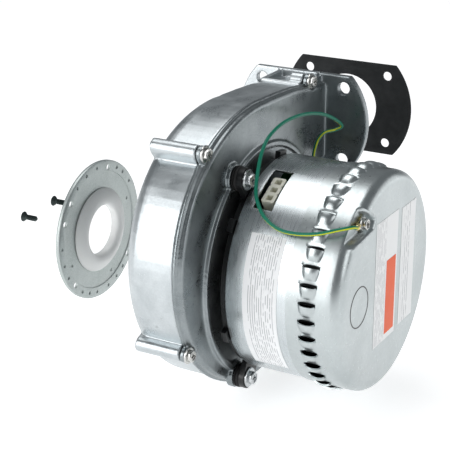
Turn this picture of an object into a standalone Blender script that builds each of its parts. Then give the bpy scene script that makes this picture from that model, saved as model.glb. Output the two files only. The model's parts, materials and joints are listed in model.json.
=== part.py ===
"""Boiler combustion fan: cast snail housing, backward curved impeller, brushless motor under a
drawn steel cover with a louvred end cap, and the inlet plate, its two screws and the outlet
gasket standing off ready to be fitted.

Fan frame: +X runs along the shaft toward the end cap, +Y is the way the air leaves and +Z is up.
Every length below is in millimetres from the left rim of the motor cover on the shaft line.
The whole fan hangs from one empty that puts the centre of the outlet face on the origin.
"""
import math

import bmesh
import bpy
from mathutils import Matrix, Vector

MM = 0.001
GAP = 0.3                       # clearance between neighbouring pieces

# Motor cover and end cap
SHELL_R = 70.0
SHEET = 1.2
SHELL_END = 41.5
CAP_R = 70.7
CAP_START = 41.8
CAP_END = 77.5
CAP_FILLET = 7.4
LOUVRES = 39
LOUVRE_FROM = 49.9
LOUVRE_TO = 61.5
LOUVRE_LIFT = 2.6

# Snail housing
SPLIT_X = -17.0                 # plane where the two castings meet
INTAKE_FACE = -54.0
MOTOR_FACE = -11.0
WALL = 3.0
SCROLL_MAX = 108.0
SCROLL_TOP = 103.6
SCROLL_MIN = 82.5
SCROLL_TONGUE = 78.0
LIP = 1.6
INLET_BORE = 36.0
SEAL_BORE = 12.0

# Outlet neck and flange
FLANGE_BACK = 91.0
FLANGE_THICK = 5.0
FLANGE_X = -29.0
FLANGE_Z = 68.6
FLANGE_R = 49.0
FLANGE_FLAT = 33.7
BOLT_X = 31.2
BOLT_Z = 25.2
NECK_X = (-48.0, -10.0)
DUCT_HALF_X = 16.0
DUCT_HALF_Z = 22.0

# Loose pieces
PLATE_FACE = -138.5             # face toward the fan of the inlet plate
PLATE_DROP = 4.5                # how far the loose plate hangs below the shaft line
PLATE_R = 49.0
PLATE_THICK = 3.0
PLATE_STEP_R = 41.2
PLATE_STEP = 0.8
NOZZLE_R = 17.6
SCREW_RING = 44.0
PLATE_HOLES = (74.0, 139.0, 158.0, 224.0, 319.0, 338.0)
INLET_SCREWS = (("inlet_screw_upper", PLATE_HOLES[1], -142.0),
                ("inlet_screw_lower", PLATE_HOLES[2], -162.0))
GASKET_SHIFT = (-0.5, 71.6, -8.6)
GASKET_THICK = 1.6

# Motor
LUG_ANGLES = (1.5, 121.5, 241.5)
LUG_R = 78.0
SHAFT_R = 4.0
TEETH = 9
IMPELLER_R = 64.0
BLADES = 9
BOARD_ANGLE = 118.7
BOARD_R = 53.0
PIN_ROW = (-6.9, -0.2, 6.5)
BEARINGS = (("front", 4.5), ("rear", 43.5))

# Screws that close the snail: angle and radius from the shaft, then the one on the neck
HOUSING_SCREWS = [(128.2, 113.0), (200.5, 97.0), (283.0, 86.5), (340.0, 84.5)]
NECK_SCREW = (71.5, 101.4)
BOSS_BACK = -49.0
NECK_BOSS_BACK = -27.0
BOSS_FACE = -13.6
BOSS_HALF = 4.9
SCREW_BORE = 2.4
SPOT_FACE_R = 5.7
EARTH_BOSS = (63.0, 41.5)
EARTH_CAP = (-33.5, 49.0)
POCKET_FLOOR = 72.0


# ---------------------------------------------------------------- small helpers
def polar(radius, degrees):
    a = math.radians(degrees)
    return radius * math.cos(a), radius * math.sin(a)


def ease(start, end, t):
    t = min(max(t, 0.0), 1.0)
    return start + (end - start) * t * t * (3 - 2 * t)


def circle(y, z, radius, count=12, phase=0.0):
    return [(y + radius * math.cos(math.tau * i / count + phase),
             z + radius * math.sin(math.tau * i / count + phase)) for i in range(count)]


def empty(name, parent=None, at=(0, 0, 0)):
    obj = bpy.data.objects.new(name, None)
    bpy.context.scene.collection.objects.link(obj)
    obj.parent = parent
    obj.location = Vector(at) * MM
    return obj


def material(name, colour, metallic, roughness):
    mat = bpy.data.materials.new(name)
    mat.use_nodes = True
    shader = mat.node_tree.nodes["Principled BSDF"]
    shader.inputs["Base Color"].default_value = (*colour, 1.0)
    shader.inputs["Metallic"].default_value = metallic
    shader.inputs["Roughness"].default_value = roughness
    return mat


def as_object(bm, name="piece"):
    bmesh.ops.recalc_face_normals(bm, faces=bm.faces)
    mesh = bpy.data.meshes.new(name)
    bm.to_mesh(mesh)
    bm.free()
    obj = bpy.data.objects.new(name, mesh)
    bpy.context.scene.collection.objects.link(obj)
    return obj


def bake(obj):
    """Keep the shape the modifiers give as the object's own mesh, flat faces made whole."""
    graph = bpy.context.evaluated_depsgraph_get()
    mesh = bpy.data.meshes.new_from_object(obj.evaluated_get(graph))
    bm = bmesh.new()
    bm.from_mesh(mesh)
    bmesh.ops.dissolve_limit(bm, angle_limit=math.radians(0.4), verts=bm.verts, edges=bm.edges)
    bm.to_mesh(mesh)
    bm.free()
    obj.modifiers.clear()
    old = obj.data
    obj.data = mesh
    bpy.data.meshes.remove(old)


def combine(obj, tools, operation, solver='EXACT'):
    """Union, difference or intersection with each tool in turn, on flat faces only."""
    obj.modifiers.new("flat faces", 'TRIANGULATE')
    for tool in tools:
        mod = obj.modifiers.new("combine", 'BOOLEAN')
        mod.operation = operation
        mod.solver = solver
        mod.object = tool
    bake(obj)
    for tool in tools:
        bpy.data.objects.remove(tool, do_unlink=True)
    return obj


def finish(obj, name, mat, parent, origin=(0, 0, 0), sharp=35):
    """Name the node, put its origin where it turns or sits and shade it."""
    obj.name = name
    obj.data.name = name
    obj.data.transform(Matrix.Translation(-Vector(origin) * MM))
    obj.parent = parent
    obj.location = Vector(origin) * MM
    obj.data.materials.clear()
    obj.data.materials.append(mat)
    obj.data.shade_smooth()
    obj.data.set_sharp_from_angle(angle=math.radians(sharp))
    return obj


# ---------------------------------------------------------------- solid builders
def add_turned(bm, profile, segments=48, y=0.0, z=0.0):
    """Turn a closed (x, r) profile round an axis along X; r = 0 points close on the axis."""
    rings = []
    for x, r in profile:
        if r == 0:
            rings.append([bm.verts.new(Vector((x, y, z)) * MM)])
        else:
            rings.append([bm.verts.new(Vector((x, y + r * math.cos(math.tau * i / segments),
                                               z + r * math.sin(math.tau * i / segments))) * MM)
                          for i in range(segments)])
    count = len(rings)
    for k in range(count):
        a, b = rings[k], rings[(k + 1) % count]
        if len(a) == 1 and len(b) == 1:
            continue
        for i in range(segments):
            j = (i + 1) % segments
            loop = [a[i % len(a)], a[j % len(a)], b[j % len(b)], b[i % len(b)]]
            unique = [v for n, v in enumerate(loop) if v not in loop[:n]]
            bm.faces.new(unique)


def add_loft(bm, sections):
    """Skin a stack of equal outlines and close both ends; points are full (x, y, z)."""
    rings = [[bm.verts.new(Vector(p) * MM) for p in section] for section in sections]
    size = len(rings[0])
    for a, b in zip(rings, rings[1:]):
        for i in range(size):
            j = (i + 1) % size
            bm.faces.new((a[i], a[j], b[j], b[i]))
    bm.faces.new(rings[0])
    bm.faces.new(rings[-1])


def add_prism(bm, outline, x0, x1):
    """Outline in the YZ plane pushed along X."""
    add_loft(bm, [[(x, y, z) for y, z in outline] for x in (x0, x1)])


def add_prism_y(bm, outline, y0, y1):
    """Outline in the XZ plane pushed along Y."""
    add_loft(bm, [[(x, y, z) for x, z in outline] for y in (y0, y1)])


def solid(builder, *args, **kwargs):
    bm = bmesh.new()
    builder(bm, *args, **kwargs)
    return as_object(bm)


def turned(profile, segments=48, y=0.0, z=0.0):
    return solid(add_turned, profile, segments, y, z)


def prism(outline, x0, x1):
    return solid(add_prism, outline, x0, x1)


def many(adds):
    """One object holding several separate solids."""
    bm = bmesh.new()
    for builder, args in adds:
        builder(bm, *args)
    return as_object(bm)


def box_outline(y0, y1, z0, z1):
    return [(y0, z0), (y1, z0), (y1, z1), (y0, z1)]


def rounded_outline(half_a, half_b, corner, a0=0.0, b0=0.0, steps=4):
    points = []
    for quadrant, (sa, sb) in enumerate(((1, 1), (-1, 1), (-1, -1), (1, -1))):
        for i in range(steps + 1):
            t = math.radians(90 * quadrant + 90 * i / steps)
            points.append((a0 + sa * (half_a - corner) + corner * math.cos(t),
                           b0 + sb * (half_b - corner) + corner * math.sin(t)))
    return points


def turned_about(points, degrees, shift_r=0.0):
    """Rotate a (tangential, radial) outline so its radial side points at an angle."""
    a = math.radians(degrees)
    ry, rz = math.cos(a), math.sin(a)
    return [((r + shift_r) * ry - t * rz, (r + shift_r) * rz + t * ry) for t, r in points]


# ---------------------------------------------------------------- snail outline
def scroll_radius(degrees):
    a = degrees % 360
    if 90 <= a <= 140:
        return ease(SCROLL_MAX, SCROLL_TOP, (140 - a) / 50)
    if 140 < a <= 250:
        return ease(SCROLL_MAX, SCROLL_MIN, (a - 140) / 110)
    if a > 250 or a <= 30:
        return ease(SCROLL_MIN, SCROLL_TONGUE, ((a if a > 250 else a + 360) - 250) / 140)
    return ease(SCROLL_TONGUE, SCROLL_TOP, (a - 30) / 60)


def scroll_section(x, inset, step=8):
    return [(x, *polar(scroll_radius(a) - inset, a)) for a in range(0, 360, step)]


def neck_outline(inset):
    """Side view of the outlet neck, started well inside the snail."""
    end = FLANGE_BACK + 1 if inset == 0 else FLANGE_BACK - 9
    return [(-7, 80), (-6, 101.6 - inset), (8, 103.3 - inset), (47, 101.4 - inset),
            (62, 99.4 - inset),
            (end, 96.2 - inset), (end, 43.2 + inset), (45, 42.4 + inset), (30, 60)]


def boss_outline(degrees, radius, width=BOSS_HALF, depth=10.0):
    """Screw boss: a half round head on a straight back that dies into the wall."""
    head = [(width * math.cos(t), width * math.sin(t))
            for t in (math.pi * i / 4 for i in range(5))]
    return turned_about([(-t, r) for t, r in head] + [(width, -depth), (-width, -depth)],
                        degrees, radius)


def flange_outline(radius=FLANGE_R, x=FLANGE_X, z=FLANGE_Z):
    """Round flange with a flat along the top and another along the bottom."""
    limit = math.asin(FLANGE_FLAT / radius)
    points = []
    for side in (0, math.pi):
        for i in range(10):
            t = side - limit + 2 * limit * i / 9
            points.append((x + radius * math.cos(t), z + radius * math.sin(t)))
    return points


def bolt_bores(radius, y0, y1, x=FLANGE_X, z=FLANGE_Z):
    return [(add_prism_y, (circle(x + sx * BOLT_X, z + sz * BOLT_Z, radius, 10), y0, y1))
            for sx in (-1, 1) for sz in (-1, 1)]


def spot_faces():
    """Round flats that let the screw heads sit down beside the lid's rim."""
    spots = [polar(r, a) for a, r in HOUSING_SCREWS] + [NECK_SCREW]
    return [(add_prism, (circle(y, z, SPOT_FACE_R, 16), BOSS_FACE, 0)) for y, z in spots]


def screw_bores():
    bores = [(add_prism, (circle(*polar(r, a), SCREW_BORE, 8), -38, 10)) for a, r in HOUSING_SCREWS]
    return bores + [(add_prism, (circle(*NECK_SCREW, SCREW_BORE, 8), NECK_BOSS_BACK + 1, 10))]


def housing_bosses(x0, neck_x0, x1):
    """Bars for the screws round the snail, and the short one on top of the neck."""
    adds = [(add_prism, (boss_outline(a, r), x0, x1)) for a, r in HOUSING_SCREWS]
    y, z = NECK_SCREW
    adds.append((add_prism, ([(y + a, b) for a, b in boss_outline(90, z, depth=6)], neck_x0, x1)))
    return many(adds)


# ---------------------------------------------------------------- snail castings
def build_intake_housing():
    """Deep cup of the snail with the inlet bore, the neck and its share of the flange."""
    face = SPLIT_X - GAP / 2
    body = solid(add_loft, [scroll_section(face + 2, 0), scroll_section(-42, 0),
                            scroll_section(-47.5, 1.6), scroll_section(-51.8, 5.4),
                            scroll_section(INTAKE_FACE, 12)])
    neck = prism(neck_outline(0), NECK_X[0], face + 3)
    flange = solid(add_prism_y, flange_outline(), FLANGE_BACK, FLANGE_BACK + FLANGE_THICK)
    side_rib = prism([(64, 90), (FLANGE_BACK + 1, 90), (FLANGE_BACK + 1, 101.6), (64, 101.2)],
                     -47.2, -44.6)
    cross_rib = prism(box_outline(63.4, 66.6, 90.5, 101.4), -46.6, face + 5)
    bosses = housing_bosses(BOSS_BACK, NECK_BOSS_BACK, face + 4)
    combine(body, [neck, bosses, side_rib, cross_rib, flange], 'UNION', 'MANIFOLD')
    cavity = solid(add_loft, [scroll_section(SPLIT_X + 9, WALL), scroll_section(-41, WALL),
                              scroll_section(-45.6, WALL + 1.4), scroll_section(-49.2, WALL + 4.6),
                              scroll_section(INTAKE_FACE + WALL, 14)])
    duct = prism(neck_outline(WALL), NECK_X[0] + WALL, SPLIT_X + 10)
    outlet = solid(add_prism_y, rounded_outline(DUCT_HALF_X, DUCT_HALF_Z, 12,
                                                FLANGE_X, FLANGE_Z + 0.4), 78, 100)
    inlet = prism(circle(0, 0, INLET_BORE, 40), INTAKE_FACE - 2, INTAKE_FACE + WALL + 2)
    plate_screws = many([(add_prism, (circle(*polar(SCREW_RING, a), 2.1, 8),
                                      INTAKE_FACE - 2, INTAKE_FACE + WALL + 2))
                         for a in PLATE_HOLES])
    beyond = prism(box_outline(-150, 150, -150, 150), face, 60)
    return combine(body, [cavity, duct, outlet, inlet, plate_screws,
                          many(bolt_bores(4.3, FLANGE_BACK - 3, FLANGE_BACK + 8)),
                          many(screw_bores()), beyond], 'DIFFERENCE', 'MANIFOLD')


def build_motor_housing():
    """Shallow lid of the snail that carries the motor, with the stepped lip on its rim."""
    face = SPLIT_X + GAP / 2
    body = solid(add_loft, [scroll_section(face - 2, -LIP), scroll_section(-14.6, -LIP),
                            scroll_section(-14.5, 0.2), scroll_section(-12.6, 0.2),
                            scroll_section(MOTOR_FACE, 2.0)])
    neck = prism(neck_outline(0), face - 3, NECK_X[1])
    lip = prism([(-7, 90), (-6, 103.0), (8, 103.4 + LIP), (47, 101.4 + LIP), (62, 99.4 + LIP),
                 (FLANGE_BACK + 1.5, 100.8), (FLANGE_BACK + 1.5, 90)], face - 4, -14.3)
    flange = solid(add_prism_y, flange_outline(), FLANGE_BACK, FLANGE_BACK + FLANGE_THICK)
    ring = turned([(MOTOR_FACE - 1, 73), (MOTOR_FACE + 2.5, 73.6), (MOTOR_FACE + 2.5, 76.6),
                   (MOTOR_FACE - 1, 77.4)], 48)
    pads = many([(add_prism, (circle(*polar(LUG_R, a), 8.6, 14, 0.1), MOTOR_FACE - 1.7,
                              MOTOR_FACE + 2.8)) for a in LUG_ANGLES])
    earth = prism(circle(*EARTH_BOSS, 6.2, 12), MOTOR_FACE - 1.4, MOTOR_FACE + 3)
    bosses = housing_bosses(face - 5, face - 4.8, BOSS_FACE)
    combine(body, [neck, lip, bosses, ring, pads, earth, flange], 'UNION', 'MANIFOLD')
    cavity = solid(add_loft, [scroll_section(SPLIT_X - 9, WALL),
                              scroll_section(MOTOR_FACE - WALL, WALL + 0.6)])
    duct = prism(neck_outline(WALL), SPLIT_X - 10, NECK_X[1] - WALL)
    outlet = solid(add_prism_y, rounded_outline(DUCT_HALF_X, DUCT_HALF_Z, 12,
                                                FLANGE_X, FLANGE_Z + 0.4), 78, 100)
    bore = prism(circle(0, 0, SEAL_BORE, 24), -20, 0)
    bracket_bores = many([(add_prism, (circle(*polar(LUG_R, a), 2.4, 8), MOTOR_FACE - 4.5, 0))
                          for a in LUG_ANGLES])
    earth_bore = prism(circle(*EARTH_BOSS, 2.0, 8), MOTOR_FACE - 1.2, 0)
    beyond = prism(box_outline(-150, 150, -150, 150), -90, face)
    return combine(body, [cavity, duct, outlet, bore, bracket_bores, earth_bore, many(spot_faces()),
                          many(bolt_bores(4.3, FLANGE_BACK - 3, FLANGE_BACK + 8)),
                          many(screw_bores()), beyond], 'DIFFERENCE', 'MANIFOLD')


# ---------------------------------------------------------------- fasteners
def add_hex_screw(bm, y, z, under_head, tip, head_r=4.0, washer_r=5.4, shank_r=2.0, height=3.6):
    """Washer head screw driven toward -X: shank, washer and six sided head, skinned as one.
    The hexagon has a point at each corner and one halfway along each flat."""
    shank, washer = (circle(y, z, r, 12) for r in (shank_r, washer_r))
    flat_r = head_r * math.cos(math.radians(30))
    corners, flats = circle(y, z, head_r, 6), circle(y, z, flat_r, 6, math.radians(30))
    hexagon = [point for pair in zip(corners, flats) for point in pair]
    sections = [(tip, shank), (under_head, shank), (under_head, washer),
                (under_head + 1.0, washer), (under_head + 1.0, hexagon),
                (under_head + height, hexagon)]
    add_loft(bm, [[(x, a, b) for a, b in loop] for x, loop in sections])


def add_countersunk(bm, length=11.0, shank_r=1.8, head_r=3.5):
    """Countersunk screw with its tip on the origin, pointing along +X, and a round recess."""
    back = -length
    add_turned(bm, [(0, 0), (0, 1.1), (-1.2, shank_r), (back + 2.4, shank_r),
                    (back + 0.3, head_r), (back, head_r), (back, 1.6), (back + 1.2, 1.0),
                    (back + 1.2, 0)], 12)


# ---------------------------------------------------------------- loose pieces
def build_inlet_plate():
    """Zinc disc with a raised rim, a stepped middle and countersunk holes round its edge.
    Its face toward the fan lies on x = 0."""
    back, edge = -PLATE_THICK, 0.8
    hole_r = NOZZLE_R + 0.9 + GAP
    plate = turned([(back, hole_r), (back, PLATE_R - edge), (back + edge, PLATE_R),
                    (-0.6, PLATE_R), (0, PLATE_R - edge), (0, PLATE_STEP_R + 0.5),
                    (-PLATE_STEP, PLATE_STEP_R), (-PLATE_STEP, hole_r)], 44)
    bore_r = 1.8 + GAP
    holes = many([(add_turned, ([(back - 1, 0), (back - 1, 4.8), (back + 2.2, bore_r),
                                 (1, bore_r), (1, 0)], 8, *polar(SCREW_RING, a)))
                  for a in PLATE_HOLES])
    return combine(plate, [holes], 'DIFFERENCE')


def build_nozzle():
    """White plastic nozzle: a low rounded collar on the plate's face round the air hole,
    with a spigot through the plate."""
    face = GAP - PLATE_STEP
    back = 0.2 - PLATE_THICK
    spigot_r = NOZZLE_R + 0.9
    return turned([(back, NOZZLE_R), (back, spigot_r), (face, spigot_r), (face, 29.6),
                   (face + 1.0, 29.2), (face + 3.4, 26.0), (face + 4.6, 22.0),
                   (face + 4.2, 19.2), (face + 2.4, NOZZLE_R)], 40)


def build_gasket():
    sx, sy, sz = GASKET_SHIFT
    x, z = FLANGE_X + sx, FLANGE_Z + sz
    y0 = FLANGE_BACK + FLANGE_THICK + GAP + sy
    body = solid(add_prism_y, flange_outline(FLANGE_R + 1.5, x, z), y0, y0 + GASKET_THICK)
    port = solid(add_prism_y, circle(x, z, 23.3, 36), y0 - 2, y0 + 4)
    return combine(body, [port, many(bolt_bores(3.4, y0 - 2, y0 + 4, x, z))], 'DIFFERENCE')


# ---------------------------------------------------------------- impeller and shaft
SHROUD = [(r, ease(-45.0, -37.0, (r - 34.0) / (IMPELLER_R - 34.0)))
          for r in (34.0, 44.0, 54.0, IMPELLER_R)]


def shroud_x(radius):
    """Inner face of the shroud at a radius, straight between its stations."""
    for (r0, x0), (r1, x1) in zip(SHROUD, SHROUD[1:]):
        if radius <= r1:
            return x0 + (x1 - x0) * (radius - r0) / (r1 - r0)
    return SHROUD[-1][1]


def build_wheel():
    """Back plate, hub and backward curved blades in one piece."""
    plate = turned([(-18.0, IMPELLER_R), (-16.4, IMPELLER_R), (-16.4, SHAFT_R + GAP),
                    (-31.0, SHAFT_R + GAP), (-31.0, 10.0), (-18.0, 15.0)], 40)
    return combine(plate, [solid(add_blade, 360 * i / BLADES) for i in range(BLADES)], 'UNION')


def build_shroud():
    inner = [(x, r) for r, x in SHROUD]
    outer = [(x - 1.4, r) for r, x in reversed(SHROUD)]
    return turned(inner + outer[:-1] + [(-46.6, 33.0), (-45.2, 33.0)], 40)


def add_blade(bm, phase, stations=6, thick=1.5):
    """Backward curved blade standing on the back plate, just short of the shroud."""
    sections = []
    for i in range(stations):
        t = i / (stations - 1)
        r = 24.0 + (IMPELLER_R - 24.8) * t
        sweep = phase - 62.0 * t ** 0.85
        top = shroud_x(max(r, 34.0)) + 0.6
        lean = math.degrees(thick / 2 / r)
        corners = [(top, sweep - lean), (top, sweep + lean),
                   (-17.2, sweep + lean), (-17.2, sweep - lean)]
        sections.append([(x, *polar(r, a)) for x, a in corners])
    add_loft(bm, sections)


def build_ball_set(x):
    """Bearing balls held in their ring shaped cage."""
    cage = turned([(x - 0.5, 7.1), (x - 0.5, 8.1), (x + 0.5, 8.1), (x + 0.5, 7.1)], 14)
    balls = []
    for i in range(7):
        bm = bmesh.new()
        y, z = polar(7.6, 360 * i / 7 + 4)
        bmesh.ops.create_uvsphere(bm, u_segments=6, v_segments=3, radius=1.55 * MM,
                                  matrix=Matrix.Translation(Vector((x, y, z)) * MM))
        balls.append(as_object(bm))
    return combine(cage, balls, 'UNION')


def bearing_ring(x, inner):
    """Grooved inner or outer ring of a ball bearing."""
    near, far, middle = (SHAFT_R + GAP, 6.0, 5.5) if inner else (11.0, 9.2, 9.8)
    return turned([(x - 3.2, near), (x - 3.2, far), (x - 1.4, far), (x, middle),
                   (x + 1.4, far), (x + 3.2, far), (x + 3.2, near)], 18)


# ---------------------------------------------------------------- motor
def build_motor_frame():
    """Black front bracket: disc, bearing boss, stator skirt, three lugs and six tabs."""
    body = turned([(-4.0, SHAFT_R + 2), (-4.0, 68.4), (-GAP, 68.4), (-GAP, 50.0), (38.0, 50.0),
                   (38.0, 47.3), (GAP, 47.3), (GAP, 15.0), (8.4, 15.0), (8.4, 11.3),
                   (0.8, 11.3), (0.8, SHAFT_R + 2)], 34)
    lugs = many([(add_prism, (boss_outline(a, LUG_R, 7.6, 14), -4.0, -GAP))
                 for a in LUG_ANGLES])
    tabs = many([(add_prism, (turned_about([(-5, 60), (5, 60), (4.2, 72.4), (-4.2, 72.4)], a),
                              -4.0, -GAP)) for a in range(24, 384, 60)])
    pads = many([(add_prism, (turned_about([(t - 4, 48.5), (t + 4, 48.5), (t + 4, BOARD_R - GAP),
                                            (t - 4, BOARD_R - GAP)], BOARD_ANGLE), 12, 34))
                 for t in (-12, 12)])
    combine(body, [lugs, tabs, pads], 'UNION')
    bores = many([(add_prism, (circle(*polar(LUG_R, a), 3.2, 10), -6, 2)) for a in LUG_ANGLES])
    vents = many([(add_prism, (circle(*polar(31, a), 6, 8), -6, 2)) for a in range(0, 360, 60)])
    return combine(body, [bores, vents], 'DIFFERENCE')


def build_shell():
    """Drawn steel cover with an open spigot the cap slides over and the connector window."""
    r = SHELL_R
    body = turned([(0, 50.6), (0, r - 0.9), (0.9, r), (SHELL_END, r), (SHELL_END, r - 0.9),
                   (46.0, r - 0.9), (46.0, r - 2.1), (SHELL_END - 1.5, r - 2.1),
                   (SHELL_END - 2.5, r - SHEET), (SHEET, r - SHEET), (SHEET, 50.6)], 52)
    half = 13.3
    window = prism(turned_about([(t * r, d) for t, d in
                                 ((-math.tan(math.radians(half)), 60),
                                  (math.tan(math.radians(half)), 60),
                                  (math.tan(math.radians(half)), 80),
                                  (-math.tan(math.radians(half)), 80))], BOARD_ANGLE), 7.2, 20.2)
    return combine(body, [window], 'DIFFERENCE')


def cap_profile(inset):
    r = CAP_R - inset
    corner = CAP_FILLET - inset
    points = [(CAP_END - CAP_FILLET + corner * math.sin(t), CAP_R - CAP_FILLET + corner *
               math.cos(t)) for t in (math.radians(45 * k) for k in range(3))]
    return r, points


def build_cap():
    """Louvred end cap: one sheet with a row of lifted slits, thickened inward, and the
    sunk corner that takes the earth screw."""
    bm = bmesh.new()
    pitch = 360 / LOUVRES
    across = (0.0, 0.9, 5.4)
    lift_across = (0.0, 1.0, 0.0)
    rows = ((LOUVRE_FROM, 0.0), (53.2, 1.0), (58.2, 1.0), (LOUVRE_TO, 0.0))

    def vertex(x, r, degrees):
        return bm.verts.new(Vector((x, *polar(r, degrees))) * MM)

    grid = [[[vertex(x, CAP_R + LOUVRE_LIFT * lift * side, k * pitch + a)
              for a, side in zip(across, lift_across)] for k in range(LOUVRES)]
            for x, lift in rows]

    def coarse(x, r):
        return [[vertex(x, r, k * pitch + a) for a in (across[0], across[2])]
                for k in range(LOUVRES)]

    _, corner = cap_profile(0.0)
    rim = coarse(CAP_START, CAP_R)
    hoops = [coarse(x, r) for x, r in corner]
    for k in range(LOUVRES):
        n = (k + 1) % LOUVRES
        for low, high in zip(grid, grid[1:]):
            a, b = low[k] + [low[n][0]], high[k] + [high[n][0]]
            for c in (1, 2):
                bm.faces.new((a[c], a[c + 1], b[c + 1], b[c]))
        for edge, fine in ((rim, grid[0]), (hoops[0], grid[-1])):
            bm.faces.new((edge[k][0], edge[k][1], fine[k][2], fine[k][1], fine[k][0]))
            bm.faces.new((edge[k][1], edge[n][0], fine[n][0], fine[k][2]))
        for low, high in zip(hoops, hoops[1:]):
            bm.faces.new((low[k][0], low[k][1], high[k][1], high[k][0]))
            bm.faces.new((low[k][1], low[n][0], high[n][0], high[k][1]))
    bm.faces.new([v for pair in hoops[-1] for v in pair])
    cap = as_object(bm)
    skin = cap.modifiers.new("sheet", 'SOLIDIFY')
    skin.thickness = SHEET * MM
    skin.offset = -1.0
    skin.use_even_offset = True
    bake(cap)

    pocket = [(-23.0, 48.6), (-26.0, 44.0), (-46.0, 42.0), (-66.0, 41.0), (-54.0, 70.0),
              (-36.0, 58.0)]
    middle = (sum(y for y, _ in pocket) / 6, sum(z for _, z in pocket) / 6)
    wider = [(middle[0] + (y - middle[0]) * 1.09, middle[1] + (z - middle[1]) * 1.09)
             for y, z in pocket]
    _, inner = cap_profile(0.5)
    core = turned([(CAP_START + 10, 0), (CAP_START + 10, CAP_R - 0.5)] + inner +
                  [(CAP_END - 0.5, 0)], 60)
    liner = combine(prism(wider, POCKET_FLOOR - SHEET, CAP_END), [core], 'INTERSECT')
    combine(cap, [liner], 'UNION')
    return combine(cap, [prism(pocket, POCKET_FLOOR, CAP_END + 8),
                         prism(circle(*EARTH_CAP, 2.3, 10), 66, 80)], 'DIFFERENCE')


def build_stator():
    core = turned([(10, 39.5), (10, 47.0), (34, 47.0), (34, 39.5)], 45)
    teeth = many([(add_prism, (turned_about([(-3, 40.5), (-3, 28), (-7.4, 26.4), (-6.6, 24.8),
                                             (6.6, 24.8), (7.4, 26.4), (3, 28), (3, 40.5)],
                                            360 * i / TEETH), 10.2, 33.8))
                  for i in range(TEETH)])
    return combine(core, [teeth], 'UNION')


def build_winding():
    """Coils round every tooth, joined by the ring that carries their ends."""
    coils = []
    for i in range(TEETH):
        a = 360 * i / TEETH
        wide = [(-7.4, 38.2), (-5.6, 29.0), (5.6, 29.0), (7.4, 38.2)]
        slot = [(-3.4, 40.0), (-3.4, 27.0), (3.4, 27.0), (3.4, 40.0)]
        coils.append(combine(prism(turned_about(wide, a), 6.6, 37.4),
                             [prism(turned_about(slot, a), 9.6, 34.4)], 'DIFFERENCE'))
    ring = turned([(35.4, 31.0), (35.4, 37.0), (36.9, 37.0), (36.9, 31.0)], 45)
    return combine(ring, coils, 'UNION')


def build_rear_bracket():
    body = turned([(38.3, SHAFT_R + 2), (38.3, 50.0), (40.3, 50.0), (40.3, 15.0), (47.2, 15.0),
                   (47.2, 11.3), (40.0, 11.3), (40.0, SHAFT_R + 2)], 30)
    vents = many([(add_prism, (circle(*polar(31, a), 9, 8), 36, 44))
                  for a in range(0, 360, 60)])
    return combine(body, [vents], 'DIFFERENCE')


def build_cooling_fan():
    hub = turned([(50.0, SHAFT_R + GAP), (50.0, 52.0), (51.6, 52.0), (51.6, 9.0), (62.0, 9.0),
                  (62.0, SHAFT_R + GAP)], 30)
    vanes = many([(add_prism, (turned_about([(-0.8, 20), (0.8, 20), (0.8, 55), (-0.8, 55)], a),
                               51.0, 62.0)) for a in range(0, 360, 36)])
    return combine(hub, [vanes], 'UNION')


def block(t0, t1, r0, r1, x0, x1, degrees=BOARD_ANGLE):
    """Box given by its tangential, radial and axial sides."""
    return add_prism, (turned_about([(t0, r0), (t1, r0), (t1, r1), (t0, r1)], degrees), x0, x1)


def build_connector():
    base = BOARD_R + 1.6 + GAP
    body = many([block(-10.3, 10.3, base, 68.2, 9.5, 18.2)])
    pits = many([block(t - 1.9, t + 1.9, base + 3, 72, 11.2, 16.4) for t in PIN_ROW])
    return combine(body, [pits], 'DIFFERENCE')


def add_upright(bm, x, t, r0, r1, radius, count=14):
    """Round piece standing on the board along the board's own normal."""
    a = math.radians(BOARD_ANGLE)
    out = Vector((0, math.cos(a), math.sin(a)))
    side = Vector((0, -math.sin(a), math.cos(a)))
    sections = []
    for r in (r0, r1):
        sections.append([tuple(out * r + side * (t + radius * math.cos(math.tau * i / count)) +
                               Vector((x + radius * math.sin(math.tau * i / count), 0, 0)))
                         for i in range(count)])
    add_loft(bm, sections)


# ---------------------------------------------------------------- labels and earth parts
def add_wrap(bm, x0, x1, from_deg, to_deg, radius, thick, steps):
    """Thin curved sheet following the motor cover."""
    loops = []
    for i in range(steps + 1):
        a = from_deg + (to_deg - from_deg) * i / steps
        loops.append([(x0, *polar(radius, a)), (x1, *polar(radius, a)),
                      (x1, *polar(radius + thick, a)), (x0, *polar(radius + thick, a))])
    add_loft(bm, loops)


def add_terminal(bm, x, y, z, degrees, thick=0.8):
    """Ring terminal: washer, neck and crimped barrel pointing along an angle."""
    outline = [(4.0 * math.cos(t), 4.0 * math.sin(t))
               for t in (math.radians(-60 + 300 * i / 10 + 180) for i in range(11))]
    ring = [(t * -1, r) for t, r in outline]
    body = [(y + p[0], z + p[1]) for p in turned_about(ring + [(-1.6, 6.0), (1.6, 6.0)], degrees)]
    add_prism(bm, body, x, x + thick)


EARTH_ROUTE = [  # x, then radius and angle from the shaft line
    (75.0, 67.0, 131.5), (74.2, 72.6, 134.2), (68.0, 75.8, 137.6), (56.5, 76.2, 141.2),
    (43.0, 75.4, 142.8), (30.5, 74.6, 142.0), (19.0, 74.4, 137.5), (11.0, 75.4, 130.5),
    (7.6, 77.6, 124.8), (6.8, 84.0, 118.6), (5.8, 89.6, 112.0), (4.8, 92.6, 104.0),
    (4.2, 93.4, 92.0), (4.2, 94.6, 79.0), (4.4, 97.4, 67.0), (4.8, 101.6, 56.0),
    (5.8, 105.6, 46.8), (7.4, 106.2, 42.2), (3.4, 102.6, 42.0), (-1.0, 97.4, 44.2),
    (-4.2, 91.6, 43.6), (-5.8, 85.8, 41.2)]


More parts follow.
